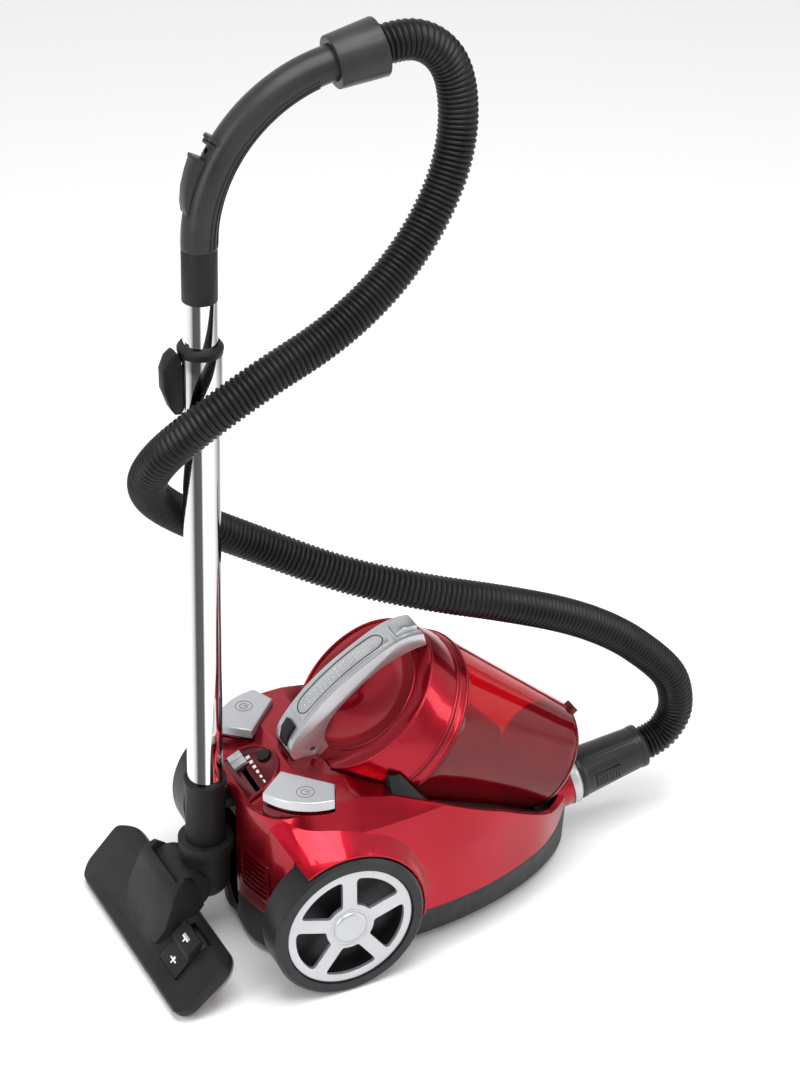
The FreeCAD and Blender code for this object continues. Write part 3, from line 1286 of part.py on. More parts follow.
for item in doc.Objects:
    if "Invalid" in item.State or "Error" in item.State:
        raise RuntimeError("%s (%s) failed: %s" % (item.Name, item.Label, item.State))
for piece in finished:
    if piece.Shape.isNull() or not piece.Shape.isValid():
        raise RuntimeError(piece.Label + " has no valid shape")

os.makedirs("parts", exist_ok=True)
for piece in finished:
    piece.Shape.exportStep("parts/" + piece.Label + ".step")
print("%d sub-parts written" % len(finished))
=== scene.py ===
import json
import math
import bmesh
import bpy
from mathutils import Matrix, Vector
from mathutils.bvhtree import BVHTree


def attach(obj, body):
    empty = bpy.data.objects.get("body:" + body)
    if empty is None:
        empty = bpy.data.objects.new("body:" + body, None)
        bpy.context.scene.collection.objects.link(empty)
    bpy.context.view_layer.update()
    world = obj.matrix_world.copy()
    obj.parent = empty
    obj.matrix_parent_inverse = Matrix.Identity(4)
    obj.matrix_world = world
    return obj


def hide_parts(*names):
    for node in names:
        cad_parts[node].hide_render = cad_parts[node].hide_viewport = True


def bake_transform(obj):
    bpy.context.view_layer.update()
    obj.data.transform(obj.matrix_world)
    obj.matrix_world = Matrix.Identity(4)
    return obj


# Bagless canister vacuum cleaner with its wand parked behind it. Shapes are written in
# millimetres, in the frame of the piece that they belong to, and built in metres.

MM = 0.001
AXLE_Y = 108.2

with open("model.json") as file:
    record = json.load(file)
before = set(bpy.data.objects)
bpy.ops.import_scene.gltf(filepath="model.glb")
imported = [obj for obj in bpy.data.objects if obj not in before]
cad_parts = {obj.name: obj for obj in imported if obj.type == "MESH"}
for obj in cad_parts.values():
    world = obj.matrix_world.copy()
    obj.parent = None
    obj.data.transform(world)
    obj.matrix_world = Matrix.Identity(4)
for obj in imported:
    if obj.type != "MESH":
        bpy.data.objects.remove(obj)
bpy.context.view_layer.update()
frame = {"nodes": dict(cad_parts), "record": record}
nodes = frame["nodes"]


def turn(degrees, axis):
    return Matrix.Rotation(math.radians(degrees), 4, axis)


def shift(x, y, z):
    return Matrix.Translation((x, y, z))


def round_steps(count):
    """Angles that divide a circle evenly."""
    return [2 * math.pi * step / count for step in range(count)]


MACHINE = Matrix.Scale(MM, 4) @ shift(0, AXLE_Y, 0)
WAND = MACHINE @ shift(7, 95.8, 0) @ turn(1.66, "X")
NOZZLE = MACHINE @ shift(7, 174, 0) @ turn(2.5, "Z") @ turn(-39.3, "X")


# ---------------------------------------------------------------- shader helpers

def share_of_turn(tree, direction):
    """Compass direction of a vector as a share of a turn, from 0 to 1."""
    parts = tree.nodes.new("ShaderNodeSeparateXYZ")
    tree.links.new(direction, parts.inputs["Vector"])
    around = tree.nodes.new("ShaderNodeMath")
    around.operation = "ARCTAN2"
    tree.links.new(parts.outputs["Y"], around.inputs[0])
    tree.links.new(parts.outputs["X"], around.inputs[1])
    spread = tree.nodes.new("ShaderNodeMapRange")
    spread.inputs["From Min"].default_value = -math.pi
    spread.inputs["From Max"].default_value = math.pi
    tree.links.new(around.outputs["Value"], spread.inputs["Value"])
    return spread.outputs["Result"]


def bands_of_grey(tree, share, end_level, bands, blue=1.0):
    """Greys that follow a share of a turn: the given bands, between two equal ends."""
    ramp = tree.nodes.new("ShaderNodeValToRGB")
    for element, position in zip(ramp.color_ramp.elements, (0.0, 1.0)):
        element.position = position
        element.color = (*end_level, 1)
    for position, level in bands:
        ramp.color_ramp.elements.new(position).color = (level, level, level * blue, 1)
    tree.links.new(share, ramp.inputs["Fac"])
    return ramp.outputs["Color"]


# ---------------------------------------------------------------- camera, floor and light

def make_camera():
    data = bpy.data.cameras.new("camera")
    data.lens = 95.31
    data.sensor_width = 36.0
    data.clip_end = 50.0
    camera = bpy.data.objects.new("camera", data)
    bpy.context.scene.collection.objects.link(camera)
    place = Vector((-2.1049, 0.8535 + AXLE_Y * MM, 1.8584))
    aim = Vector((-0.0005, -0.1175 + AXLE_Y * MM, 0.4221))
    camera.location = place
    camera.rotation_euler = (aim - place).to_track_quat("-Z", "Y").to_euler()
    bpy.context.scene.camera = camera


def area_light(name, place, aim, width, height, power):
    data = bpy.data.lights.new(name, "AREA")
    data.shape = "RECTANGLE"
    data.size = width
    data.size_y = height
    data.energy = power
    light = bpy.data.objects.new(name, data)
    bpy.context.scene.collection.objects.link(light)
    light.location = place
    light.rotation_euler = (Vector(aim) - Vector(place)).to_track_quat("-Z", "Y").to_euler()


# Brightness of the studio's walls at shares of a turn round the machine, and where the turn closes.
WALL_LEVEL = 0.9
STUDIO_WALLS = (
    (0.03, 0.95), (0.06, 0.50), (0.13, 0.40), (0.16, 0.9), (0.30, 0.95), (0.33, 0.12), (0.39, 0.12),
    (0.42, 1.0), (0.56, 1.0), (0.59, 0.60), (0.66, 0.60), (0.69, 0.95), (0.82, 0.95), (0.85, 0.15),
    (0.92, 0.15), (0.95, 0.9),
)


def make_floor():
    reach = 14.0
    mesh = bpy.data.meshes.new("floor")
    mesh.from_pydata([(-reach, -reach, 0), (reach, -reach, 0), (reach, reach, 0), (-reach, reach, 0)],
                     [], [(0, 1, 2, 3)])
    floor = bpy.data.objects.new("floor", mesh)
    bpy.context.scene.collection.objects.link(floor)
    floor.location.z = -0.0004
    material = bpy.data.materials.new("studio_floor")
    material.use_nodes = True
    shader = material.node_tree.nodes["Principled BSDF"]
    shader.inputs["Base Color"].default_value = (0.98, 0.98, 0.98, 1)
    shader.inputs["Roughness"].default_value = 0.6
    shader.inputs["Specular IOR Level"].default_value = 0.2
    mesh.materials.append(material)


def make_walls():
    """Pale studio walls with dark gaps, which give the lacquer its contrast and are also reflected by the
    chrome on top of its painted reflections.
    """
    world = bpy.data.worlds.new("studio")
    bpy.context.scene.world = world
    world.use_nodes = True
    tree = world.node_tree
    background = tree.nodes["Background"]
    background.inputs["Strength"].default_value = 1.0
    place = tree.nodes.new("ShaderNodeTexCoord")
    share = share_of_turn(tree, place.outputs["Generated"])
    greys = bands_of_grey(tree, share, (WALL_LEVEL,) * 3, STUDIO_WALLS)
    tree.links.new(greys, background.inputs["Color"])


def make_lights():
    middle = (0, 0, 0.3)
    area_light("top_box", (-0.5, 0.1, 2.4), middle, 1.6, 1.6, 42)
    area_light("left_box", (-1.0, 2.6, 1.5), middle, 0.8, 2.4, 26)
    area_light("right_box", (-1.8, -2.2, 1.2), middle, 0.8, 2.4, 20)
    bpy.context.scene.view_settings.view_transform = "Standard"


# ---------------------------------------------------------------- materials

class Look:
    """A material with a Principled shader and helpers that add detail to it."""

    def __init__(self, name, colour, roughness, metallic=0.0, coat=0.0, coat_roughness=0.05, specular=0.5):
        self.material = bpy.data.materials.new(name)
        self.material.use_nodes = True
        self.tree = self.material.node_tree
        self.shader = self.tree.nodes["Principled BSDF"]
        self.colour = colour
        self.put("Base Color", (*colour, 1))
        self.put("Roughness", roughness)
        self.put("Metallic", metallic)
        self.put("Coat Weight", coat)
        self.put("Coat Roughness", coat_roughness)
        self.put("Specular IOR Level", specular)
        self.bump_from = None

    def put(self, socket, value):
        self.shader.inputs[socket].default_value = value

    def node(self, kind, **settings):
        made = self.tree.nodes.new(kind)
        for name, value in settings.items():
            setattr(made, name, value)
        return made

    def link(self, source, target):
        self.tree.links.new(source, target)

    def coordinates(self, stretch=(1, 1, 1)):
        place = self.node("ShaderNodeTexCoord")
        mapping = self.node("ShaderNodeMapping")
        mapping.inputs["Scale"].default_value = stretch
        self.link(place.outputs["Object"], mapping.inputs["Vector"])
        return mapping.outputs["Vector"]

    def noise(self, scale, detail=3.0, stretch=(1, 1, 1)):
        noise = self.node("ShaderNodeTexNoise")
        noise.inputs["Scale"].default_value = scale
        noise.inputs["Detail"].default_value = detail
        self.link(self.coordinates(stretch), noise.inputs["Vector"])
        return noise.outputs["Fac"]

    def cells(self, scale):
        cells = self.node("ShaderNodeTexVoronoi")
        cells.inputs["Scale"].default_value = scale
        self.link(self.coordinates(), cells.inputs["Vector"])
        return cells

    def vary_colour(self, source, other, low=0.3, high=0.7):
        ramp = self.node("ShaderNodeValToRGB")
        for element, position, colour in zip(ramp.color_ramp.elements, (low, high), (self.colour, other)):
            element.position = position
            element.color = (*colour, 1)
        self.link(source, ramp.inputs["Fac"])
        self.link(ramp.outputs["Color"], self.shader.inputs["Base Color"])
        return self

    def vary_roughness(self, source, low, high):
        spread = self.node("ShaderNodeMapRange")
        spread.inputs["To Min"].default_value = low
        spread.inputs["To Max"].default_value = high
        self.link(source, spread.inputs["Value"])
        self.link(spread.outputs["Result"], self.shader.inputs["Roughness"])
        return self

    def bump(self, source, strength, distance):
        bump = self.node("ShaderNodeBump")
        bump.inputs["Strength"].default_value = strength
        bump.inputs["Distance"].default_value = distance
        self.link(source, bump.inputs["Height"])
        if self.bump_from is not None:
            self.link(self.bump_from, bump.inputs["Normal"])
        self.bump_from = bump.outputs["Normal"]
        self.link(self.bump_from, self.shader.inputs["Normal"])
        return self


def moulded(name, colour, roughness, grain_depth=0.00008, coat=0.0, metallic=0.0, lighter=1.35,
            specular=0.5):
    """Moulded plastic: faint mottling, fine spark-eroded grain and uneven sheen."""
    look = Look(name, colour, roughness, metallic=metallic, coat=coat, specular=specular)
    mottled = tuple(min(1.0, value * lighter + 0.004) for value in colour)
    look.vary_colour(look.noise(18.0, 4.0), mottled)
    look.vary_roughness(look.noise(60.0, 5.0), max(0.02, roughness - 0.07), roughness + 0.09)
    look.bump(look.noise(2600.0, 2.0), 0.35, grain_depth)
    return look


def lacquered_red(name, colour, deeper, metallic=0.9, roughness=0.25):
    """Red metallic plastic under clear lacquer, with fine flake and slight waviness."""
    look = Look(name, colour, roughness, metallic=metallic, coat=0.42, coat_roughness=0.035, specular=0.2)
    look.vary_colour(look.noise(5.0, 2.0), deeper, 0.25, 0.8)
    flake = look.cells(2400.0)
    look.vary_roughness(flake.outputs["Distance"], roughness - 0.06, roughness + 0.12)
    look.bump(flake.outputs["Distance"], 0.12, 0.00003)
    look.bump(look.noise(14.0, 1.0), 0.05, 0.0006)
    return look


def metal(name, colour, roughness):
    look = Look(name, colour, roughness, metallic=1.0)
    look.vary_roughness(look.noise(90.0, 4.0), max(0.01, roughness - 0.03), roughness + 0.05)
    look.bump(look.noise(240.0, 3.0), 0.06, 0.00004)
    return look


# Painted reflections on the chrome: grey level at shares of a turn of the surface's own direction, and
# where the turn closes.
CHROME_PAINTED_REFLECTION_END = (0.98, 0.98, 1.0)
CHROME_PAINTED_REFLECTIONS = (
    (0.02, 0.95), (0.05, 0.70), (0.085, 0.40), (0.12, 0.15), (0.17, 0.60), (0.24, 0.90), (0.30, 0.16),
    (0.36, 0.92), (0.40, 0.04), (0.435, 0.05), (0.475, 0.95), (0.51, 0.90), (0.56, 0.10), (0.69, 0.35),
    (0.72, 0.95), (0.80, 0.90), (0.85, 0.55), (0.88, 0.06), (0.94, 0.08), (0.957, 0.95),
)


def chrome(name):
    """Mirror-bright tube with painted reflections: its base colour changes in grey bands round it,
    standing in for a studio's flags and windows.
    """
    look = metal(name, (0.8, 0.8, 0.82), 0.06)
    place = look.node("ShaderNodeTexCoord")
    share = share_of_turn(look.tree, place.outputs["Normal"])
    # Painted reflections: the base colour is set in grey bands by the direction the surface faces.
    painted_reflections = bands_of_grey(look.tree, share, CHROME_PAINTED_REFLECTION_END, CHROME_PAINTED_REFLECTIONS, blue=1.01)
    look.link(painted_reflections, look.shader.inputs["Base Color"])
    return look


def make_materials():
    looks = {}
    looks["red_shell"] = lacquered_red("red_metallic", (0.42, 0.005, 0.020), (0.24, 0.001, 0.008))
    looks["dark_red"] = lacquered_red("dark_red_metallic", (0.13, 0.002, 0.007), (0.08, 0.001, 0.004))
    clear = Look("red_clear", (0.76, 0.026, 0.055), 0.03, coat=0.45)
    clear.put("Transmission Weight", 0.9)
    clear.put("IOR", 1.15)
    clear.vary_colour(clear.noise(8.0, 2.0), (0.66, 0.014, 0.034))
    clear.bump(clear.noise(30.0, 2.0), 0.04, 0.0004)
    looks["red_clear"] = clear
    looks["black_plastic"] = moulded("black_plastic", (0.008, 0.008, 0.009), 0.5, specular=0.22)
    looks["dark_plastic"] = moulded("charcoal_plastic", (0.014, 0.014, 0.015), 0.33, specular=0.32)
    looks["silver_plastic"] = moulded("silver_plastic", (0.50, 0.51, 0.53), 0.32, 0.00003, coat=0.3,
                                      metallic=0.7, lighter=1.08)
    looks["grey_plastic"] = moulded("grey_plastic", (0.10, 0.10, 0.11), 0.5)
    looks["chrome_tube"] = chrome("chrome")
    looks["tyre_rubber"] = moulded("tyre_rubber", (0.007, 0.007, 0.008), 0.38, 0.00006, specular=0.35)
    looks["hose_skin"] = moulded("hose_plastic", (0.004, 0.004, 0.004), 0.36, 0.00003, specular=0.22)
    looks["steel"] = metal("bright_steel", (0.62, 0.62, 0.64), 0.2)
    looks["copper"] = metal("copper_winding", (0.70, 0.33, 0.16), 0.3)
    looks["board_green"] = moulded("circuit_board", (0.02, 0.12, 0.05), 0.35)
    looks["filter_paper"] = moulded("filter_paper", (0.72, 0.70, 0.66), 0.85, 0.0002)
    looks["brush_fibre"] = moulded("brush_fibre", (0.02, 0.02, 0.02), 0.8)
    looks["white_print"] = moulded("white_print", (0.75, 0.75, 0.75), 0.45, 0.00002, lighter=1.05)
    return {slot: look.material for slot, look in looks.items()}


make_camera()
make_floor()
make_walls()
make_lights()
MATERIALS = make_materials()
SLOTS = {entry["node"]: entry["material_slot"] for entry in frame["record"]["subparts"]}
BODIES = {member: body for body, members in frame["record"]["behaviour"]["bodies"].items()
          for member in members}


# ---------------------------------------------------------------- mesh helpers

def new_piece(name, verts, faces, placing, slot_name, sharp=32.0):
    """Mesh object from points in millimetres in the given frame."""
    mesh = bpy.data.meshes.new(name)
    mesh.from_pydata([placing @ Vector(vert) for vert in verts], [], faces)
    mesh.validate()
    piece = bpy.data.objects.new(name, mesh)
    bpy.context.scene.collection.objects.link(piece)
    tidy_normals(mesh)
    shade(mesh, sharp)
    mesh.materials.append(MATERIALS[slot_name])
    return piece


def tidy_normals(mesh):
    work = bmesh.new()
    work.from_mesh(mesh)
    bmesh.ops.remove_doubles(work, verts=work.verts, dist=1e-6)
    bmesh.ops.recalc_face_normals(work, faces=work.faces)
    work.to_mesh(mesh)
    work.free()


def shade(mesh, sharp):
    mesh.polygons.foreach_set("use_smooth", [True] * len(mesh.polygons))
    mesh.set_sharp_from_angle(angle=math.radians(sharp))


def baked(piece):
    """Apply the modifiers of a piece to its mesh."""
    graph = bpy.context.evaluated_depsgraph_get()
    mesh = bpy.data.meshes.new_from_object(piece.evaluated_get(graph))
    piece.modifiers.clear()
    piece.data = mesh
    return piece


def bevelled(piece, width, angle, sharp):
    bevel = piece.modifiers.new("bevel", "BEVEL")
    bevel.width = width * MM
    bevel.segments = 2
    bevel.limit_method = "ANGLE"
    bevel.angle_limit = math.radians(angle)
    bevel.use_clamp_overlap = True
    bevel.harden_normals = False
    baked(piece)
    shade(piece.data, sharp)
    return piece


def settle(piece, body, *replaced):
    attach(piece, body)
    if replaced:
        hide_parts(*replaced)
    return piece


def polished(node, width, angle=32.0):
    """Finished copy of a CAD node, with flat faces merged and its edges rounded."""
    mesh = nodes[node].data.copy()
    mesh.materials.clear()
    work = bmesh.new()
    work.from_mesh(mesh)
    bmesh.ops.remove_doubles(work, verts=work.verts, dist=2e-6)
    bmesh.ops.dissolve_limit(work, angle_limit=math.radians(0.4), verts=work.verts, edges=work.edges)
    work.to_mesh(mesh)
    work.free()
    piece = bpy.data.objects.new(node + "_finished", mesh)
    bpy.context.scene.collection.objects.link(piece)
    mesh.materials.append(MATERIALS[SLOTS[node]])
    if width:
        bevelled(piece, width, angle, angle + 6.0)
    else:
        shade(mesh, angle)
    return settle(piece, BODIES[node], node)


def frames_along(points):
    """Each point of a line with two directions across the line there, without twist."""
    result = []
    side = None
    for index, point in enumerate(points):
        before = points[max(0, index - 1)]
        after = points[min(len(points) - 1, index + 1)]
        ahead = (after - before).normalized()
        if side is None:
            side = ahead.orthogonal().normalized()
        side = (side - ahead * side.dot(ahead)).normalized()
        result.append((point, side, ahead.cross(side)))
    return result


def evenly(points, step):
    """Points at equal steps along a line of points."""
    lengths = [0.0]
    for a, b in zip(points, points[1:]):
        lengths.append(lengths[-1] + (b - a).length)
    count = max(2, round(lengths[-1] / step))
    result = []
    index = 0
    for number in range(count + 1):
        goal = lengths[-1] * number / count
        while index < len(lengths) - 2 and lengths[index + 1] < goal:
            index += 1
        span = lengths[index + 1] - lengths[index]
        part = (goal - lengths[index]) / span if span > 1e-12 else 0.0
        result.append(points[index].lerp(points[index + 1], part))
    return result


def skin(rings, caps=True):
    """Faces that join rings of equal count, and flat caps at both ends."""
    count = len(rings[0])
    verts = [point for ring in rings for point in ring]
    faces = []
    for row in range(len(rings) - 1):
        for column in range(count):
            after = (column + 1) % count
            faces.append((row * count + column, row * count + after,
                          (row + 1) * count + after, (row + 1) * count + column))
    if caps:
        faces.append(tuple(range(count)))
        faces.append(tuple((len(rings) - 1) * count + column for column in range(count)))
    return verts, faces


# ---------------------------------------------------------------- hose

HOSE_ROUTE = (
    (7, -101.2, 922.2), (7, -124.9, 926.1), (6, -150, 918), (5, -169, 897), (4, -177, 866), (2, -176, 826),
    (-2, -163, 784), (-12, -132, 740), (-27, -86, 703), (-41, -28, 674), (-51, 36, 654), (-52, 96, 624),
    (-30, 136, 582), (22, 134, 522), (60, 88, 462), (60, 10, 410), (28, -66, 372), (-6, -146, 349),
    (-16, -226, 321), (-10, -304, 281), (-4, -362, 240), (0, -403, 200), (0, -427, 172), (0, -437, 151),
    (0, -441, 121), (0, -432, 101), (0, -416.8, 88.0), (0, -398.1, 84.7),
)
HOSE_RADIUS = 18.5
HOSE_VALLEY = 16.4
RIB_PITCH = 5.2
HOSE_SIDES = 40


def make_hose():
    curve = bpy.data.curves.new("hose_line", "CURVE")
    curve.dimensions = "3D"
    spline = curve.splines.new("NURBS")
    spline.points.add(len(HOSE_ROUTE) - 1)
    for point, spot in zip(spline.points, HOSE_ROUTE):
        point.co = (*(MACHINE @ Vector(spot)), 1.0)
    spline.order_u = 3
    spline.use_endpoint_u = True
    spline.resolution_u = 24
    holder = bpy.data.objects.new("hose_line", curve)
    bpy.context.scene.collection.objects.link(holder)
    line = bpy.data.meshes.new_from_object(holder)
    points = [vert.co.copy() for vert in line.vertices]
    bpy.data.objects.remove(holder)
    path = evenly(points, RIB_PITCH * MM / 8)
    rings = []
    travelled = 0.0
    last = path[0]
    for point, side, up in frames_along(path):
        travelled += (point - last).length
        last = point
        phase = (travelled / (RIB_PITCH * MM)) % 1.0
        crest = (0.5 + 0.5 * math.cos(2 * math.pi * phase)) ** 0.6
        radius = (HOSE_VALLEY + (HOSE_RADIUS - HOSE_VALLEY) * crest) * MM
        rings.append([point + (side * math.cos(angle) + up * math.sin(angle)) * radius
                      for angle in round_steps(HOSE_SIDES)])
    verts, faces = skin(rings)
    hose = new_piece("corrugated_hose", verts, faces, Matrix.Identity(4), "hose_skin", sharp=60.0)
    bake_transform(hose)
    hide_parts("hose")


make_hose()

# ---------------------------------------------------------------- carried pieces

EDGE_WIDTHS = {
    "chassis_pan": 0.8, "body_shell": 1.0, "bin_cradle": 0.6, "pedal_bases": 0.5, "control_panel": 0.4,
    "suction_slider": 0.6, "round_button": 0.6, "exhaust_grille": 0.3, "hose_port": 0.8,
    "neck_tube": 0.8, "neck_elbow": 1.2, "parking_bracket": 0.6, "telescope_ring": 0.6,
    "telescope_latch": 1.6, "handle_cuff": 0.5, "handle_grip": 0.5, "swivel_collar": 0.8, "air_slide": 1.2,
    "nozzle_cover": 1.2, "nozzle_sole": 0.6, "nozzle_rocker": 1.0, "hose_connector": 0.6,
    "release_clip_right": 0.6, "release_clip_left": 0.6, "bin_lid": 0.8, "bin_ring": 0.4,
    "bin_container": 0.8, "carry_handle": 2.2, "grip_inset": 0.4, "bin_door": 0.8, "door_latch": 1.0,
    "bin_release_button": 1.0, "bin_door_button": 1.2, "power_pedal": 0.0, "cord_pedal": 0.0,
    "caster_wheel": 1.2, "right_wheel_hub": 0.6, "left_wheel_hub": 0.6, "right_wheel_tyre": 0.0,
    "left_wheel_tyre": 0.0, "wand_outer_tube": 0.0, "wand_inner_tube": 0.0, "telescope_sleeve": 0.3,
    "cyclone_cone": 0.3,
}
# Angle from which an edge counts as a crease, where that isn't 32 degrees.
CREASES = {"body_shell": 13.0}
SHAPED_ANEW = ("hose", "right_wheel_disc", "left_wheel_disc")


def dress_nodes():
    for node in nodes:
        if node in EDGE_WIDTHS:
            polished(node, EDGE_WIDTHS[node], CREASES.get(node, 32.0))
        elif node not in SHAPED_ANEW:
            nodes[node].data.materials.clear()
            nodes[node].data.materials.append(MATERIALS[SLOTS[node]])


dress_nodes()


# ---------------------------------------------------------------- lines and marks on the surfaces

def bead(name, points, radius, slot_name, body, closed=False, sides=10):
    """Thin round line along points given in metres."""
    if closed:
        points = points + points[:2]
    rings = []
    for point, side, up in frames_along(points):
        rings.append([point + (side * math.cos(angle) + up * math.sin(angle)) * radius * MM
                      for angle in round_steps(sides)])
    verts, faces = skin(rings, caps=not closed)
    return settle(new_piece(name, verts, faces, Matrix.Identity(4), slot_name, sharp=80.0), body)


def tile(name, outline, lift, placing, slot_name, body):
    """Thin flat mark: an outline in millimetres on the XY plane of a placing, raised by lift."""
    low = [(x, y, -0.4) for x, y in outline]
    high = [(x, y, lift) for x, y in outline]
    verts, faces = skin([low, high])
    return settle(new_piece(name, verts, faces, placing, slot_name), body)


def dome(name, spot, out, radius, height, slot_name, body, sides=14):
    """Small round stud on a surface."""
    side = out.orthogonal().normalized()
    up = out.cross(side)
    rings = []
    for level in range(5):
        lean = math.pi / 2 * level / 4.6
        ring_radius = radius * math.cos(lean) * MM
        lift = height * math.sin(lean) * MM
        rings.append([spot + out * lift + (side * math.cos(angle) + up * math.sin(angle)) * ring_radius
                      for angle in round_steps(sides)])
    verts, faces = skin(rings)
    return settle(new_piece(name, verts, faces, Matrix.Identity(4), slot_name, sharp=70.0), body)


def box_outline(x, y, width, height):
    return ((x, y), (x + width, y), (x + width, y + height), (x, y + height))


def tree_of(node):
    """Search tree of a CAD node's surface."""
    mesh = nodes[node].data
    place = nodes[node].matrix_world
    return BVHTree.FromPolygons([place @ vert.co for vert in mesh.vertices],
                                [tuple(face.vertices) for face in mesh.polygons])


def touch(tree, start, direction):
    """Point and outward direction where a ray first meets a surface."""
    point, normal, _, _ = tree.ray_cast(start, direction)
    if point is None:
        raise RuntimeError("the ray from %s meets no surface" % start)
    return point, normal


# Circles of the bin: centre y and z, radius, and the tilt of the axis below the level.
LID_FACE = (-77.5, 246.0, 85.2, 50.0)
LID_SEAM = (-101.0, 213.6, 95.0, 45.0)
RING_FRONT = (-111.5, 206.0, 96.5, 44.0)
BIN_FRONT = (-272.0, 112.5, 60.5, 38.0)


def circle_points(circle, along, grow, count=96):
    centre_y, centre_z, radius, tilt = circle
    angle = math.radians(tilt)
    ahead = Vector((0, -math.cos(angle), -math.sin(angle)))
    rise = Vector((0, -math.sin(angle), math.cos(angle)))
    centre = Vector((0, centre_y, centre_z)) + ahead * along
    points = []
    for turned in round_steps(count):
        arm = Vector((1, 0, 0)) * math.cos(turned) + rise * math.sin(turned)
        points.append(MACHINE @ (centre + arm * (radius + grow)))
    return points


def make_bin_lines():
    bead("lid_rim_line", circle_points(LID_FACE, -0.2, -1.4), 1.5, "red_shell", "bin", closed=True)
    bead("lid_bowl_line", circle_points(LID_FACE, 0.0, -22.4), 0.7, "red_shell", "bin", closed=True)
    bead("lid_seam_line", circle_points(LID_SEAM, -0.9, -0.2), 1.3, "red_shell", "bin", closed=True)
    bead("ring_gap_line", circle_points(LID_SEAM, 1.2, -0.1), 0.7, "black_plastic", "bin", closed=True)
    bead("ring_back_line", circle_points(LID_SEAM, 3.4, 0.2), 1.2, "red_shell", "bin", closed=True)
    bead("ring_front_line", circle_points(RING_FRONT, -1.4, -0.2), 1.1, "red_shell", "bin", closed=True)
    bead("bin_gap_line", circle_points(RING_FRONT, 0.3, -0.1), 0.6, "black_plastic", "bin", closed=True)
    bead("door_line", circle_points(BIN_FRONT, 0.4, -0.1), 0.8, "dark_red", "bin", closed=True)


make_bin_lines()

FACE_TILT = math.radians(LID_FACE[3])
FACE_RISE = Vector((0, -math.sin(FACE_TILT), math.cos(FACE_TILT)))
FACE_OUT = Vector((0, math.cos(FACE_TILT), math.sin(FACE_TILT)))
INSET_TREE = tree_of("grip_inset")


def on_inset(across, along):
    """Point on the handle's grip inset and the way out of it there."""
    start = Vector((across, LID_FACE[0], LID_FACE[1])) + FACE_RISE * along + FACE_OUT * 90.0
    return touch(INSET_TREE, MACHINE @ start, -FACE_OUT)


def make_grip_marks():
    """Long round-ended outline on the grip inset, with staggered rows of small studs inside it."""
    half, reach = 10.6, 44.0
    outline = []
    for step in range(24):
        turned = math.pi * step / 23
        outline.append((half * math.cos(turned), reach + half * math.sin(turned)))
    sides = [reach - 2 * reach * step / 20 for step in range(1, 20)]
    loop = outline + [(-half, along) for along in sides]
    loop += [(-x, -y) for x, y in outline] + [(half, -along) for along in sides]
    points = [on_inset(x, y)[0] for x, y in loop]
    bead("grip_outline", points, 0.55, "black_plastic", "bin", closed=True)
    rows, first, span = 17, -46.0, 92.0
    for row in range(rows):
        along = first + span * row / (rows - 1)
        columns = (-5.4, 0.0, 5.4) if row % 2 == 0 else (-2.7, 2.7)
        for number, across in enumerate(columns):
            spot, out = on_inset(across, along)
            dome("grip_dimple_%d_%d" % (row, number), spot, out, 1.15, 0.5, "steel", "bin")


make_grip_marks()

PEDAL_TOP = 208.0


def make_pedal_marks():
    """Generic round sign on both pedals: a ring with an open circle and a bar in it."""
    ring_radius, arc_radius, line = 8.6, 4.2, 0.4
    for side, body in ((-1, "power_pedal_body"), (1, "cord_pedal_body")):
        centre = Vector((side * 79.0, 19.5, PEDAL_TOP))
        ring = [MACHINE @ (centre + Vector((math.cos(turned), math.sin(turned), 0)) * ring_radius)
                for turned in round_steps(48)]
        bead(body + "_ring", ring, line, "grey_plastic", body, closed=True)
        arc = [MACHINE @ (centre + Vector((math.sin(turned), -math.cos(turned), 0)) * arc_radius)
               for turned in (math.radians(40 + 280 * step / 30) for step in range(31))]
        bead(body + "_arc", arc, line, "grey_plastic", body)
        bar = [MACHINE @ (centre + Vector((0, y, 0))) for y in (-5.4, -3.6, -1.8, 0.0)]
        bead(body + "_bar", bar, line, "grey_plastic", body)


make_pedal_marks()

# Plane of the sloping control panel.
PANEL = MACHINE @ shift(0, 14, 202) @ turn(-math.degrees(math.atan(0.49)), "X")


def make_panel_marks():
    """Scale of growing bars beside the suction slider, and a raised line round the panel's arch."""
    top = 1.6
    for number in range(6):
        x = -27.0 + number * 8.6
        height = 1.6 + number * 0.55
        tile("scale_bar_%d" % number, box_outline(x, 28.6 - height / 2, 4.6, height), top + 0.15, PANEL,
             "white_print", "machine")
    half, spring, rise = 34.0, 36.0, 30.5
    leg = (50.0, 45.0, 40.0, spring)
    edge = [PANEL @ Vector((half, y, top)) for y in leg]
    for step in range(1, 24):
        turned = math.pi * step / 24
        edge.append(PANEL @ Vector((half * math.cos(turned), spring - rise * math.sin(turned), top)))
    edge += [PANEL @ Vector((-half, y, top)) for y in reversed(leg)]
    bead("panel_arch_line", edge, 0.9, "red_shell", "machine")


make_panel_marks()


WHEEL_Z = 79.3
DISC_X = 137.5
DISC_RADIUS = 66.0
SPOKES = 5
CAP_X = 140.0
# Cap in the middle of a wheel disc, with the groove and the rim round it: radius and lift.
CAP_PROFILE = ((0.05, 3.6), (9.0, 3.5), (14.0, 3.1), (16.6, 2.3), (17.4, 1.2), (17.6, 0.2), (18.4, -0.4),
               (19.6, -0.6), (20.4, -0.2), (21.4, 0.3), (22.4, -0.4))


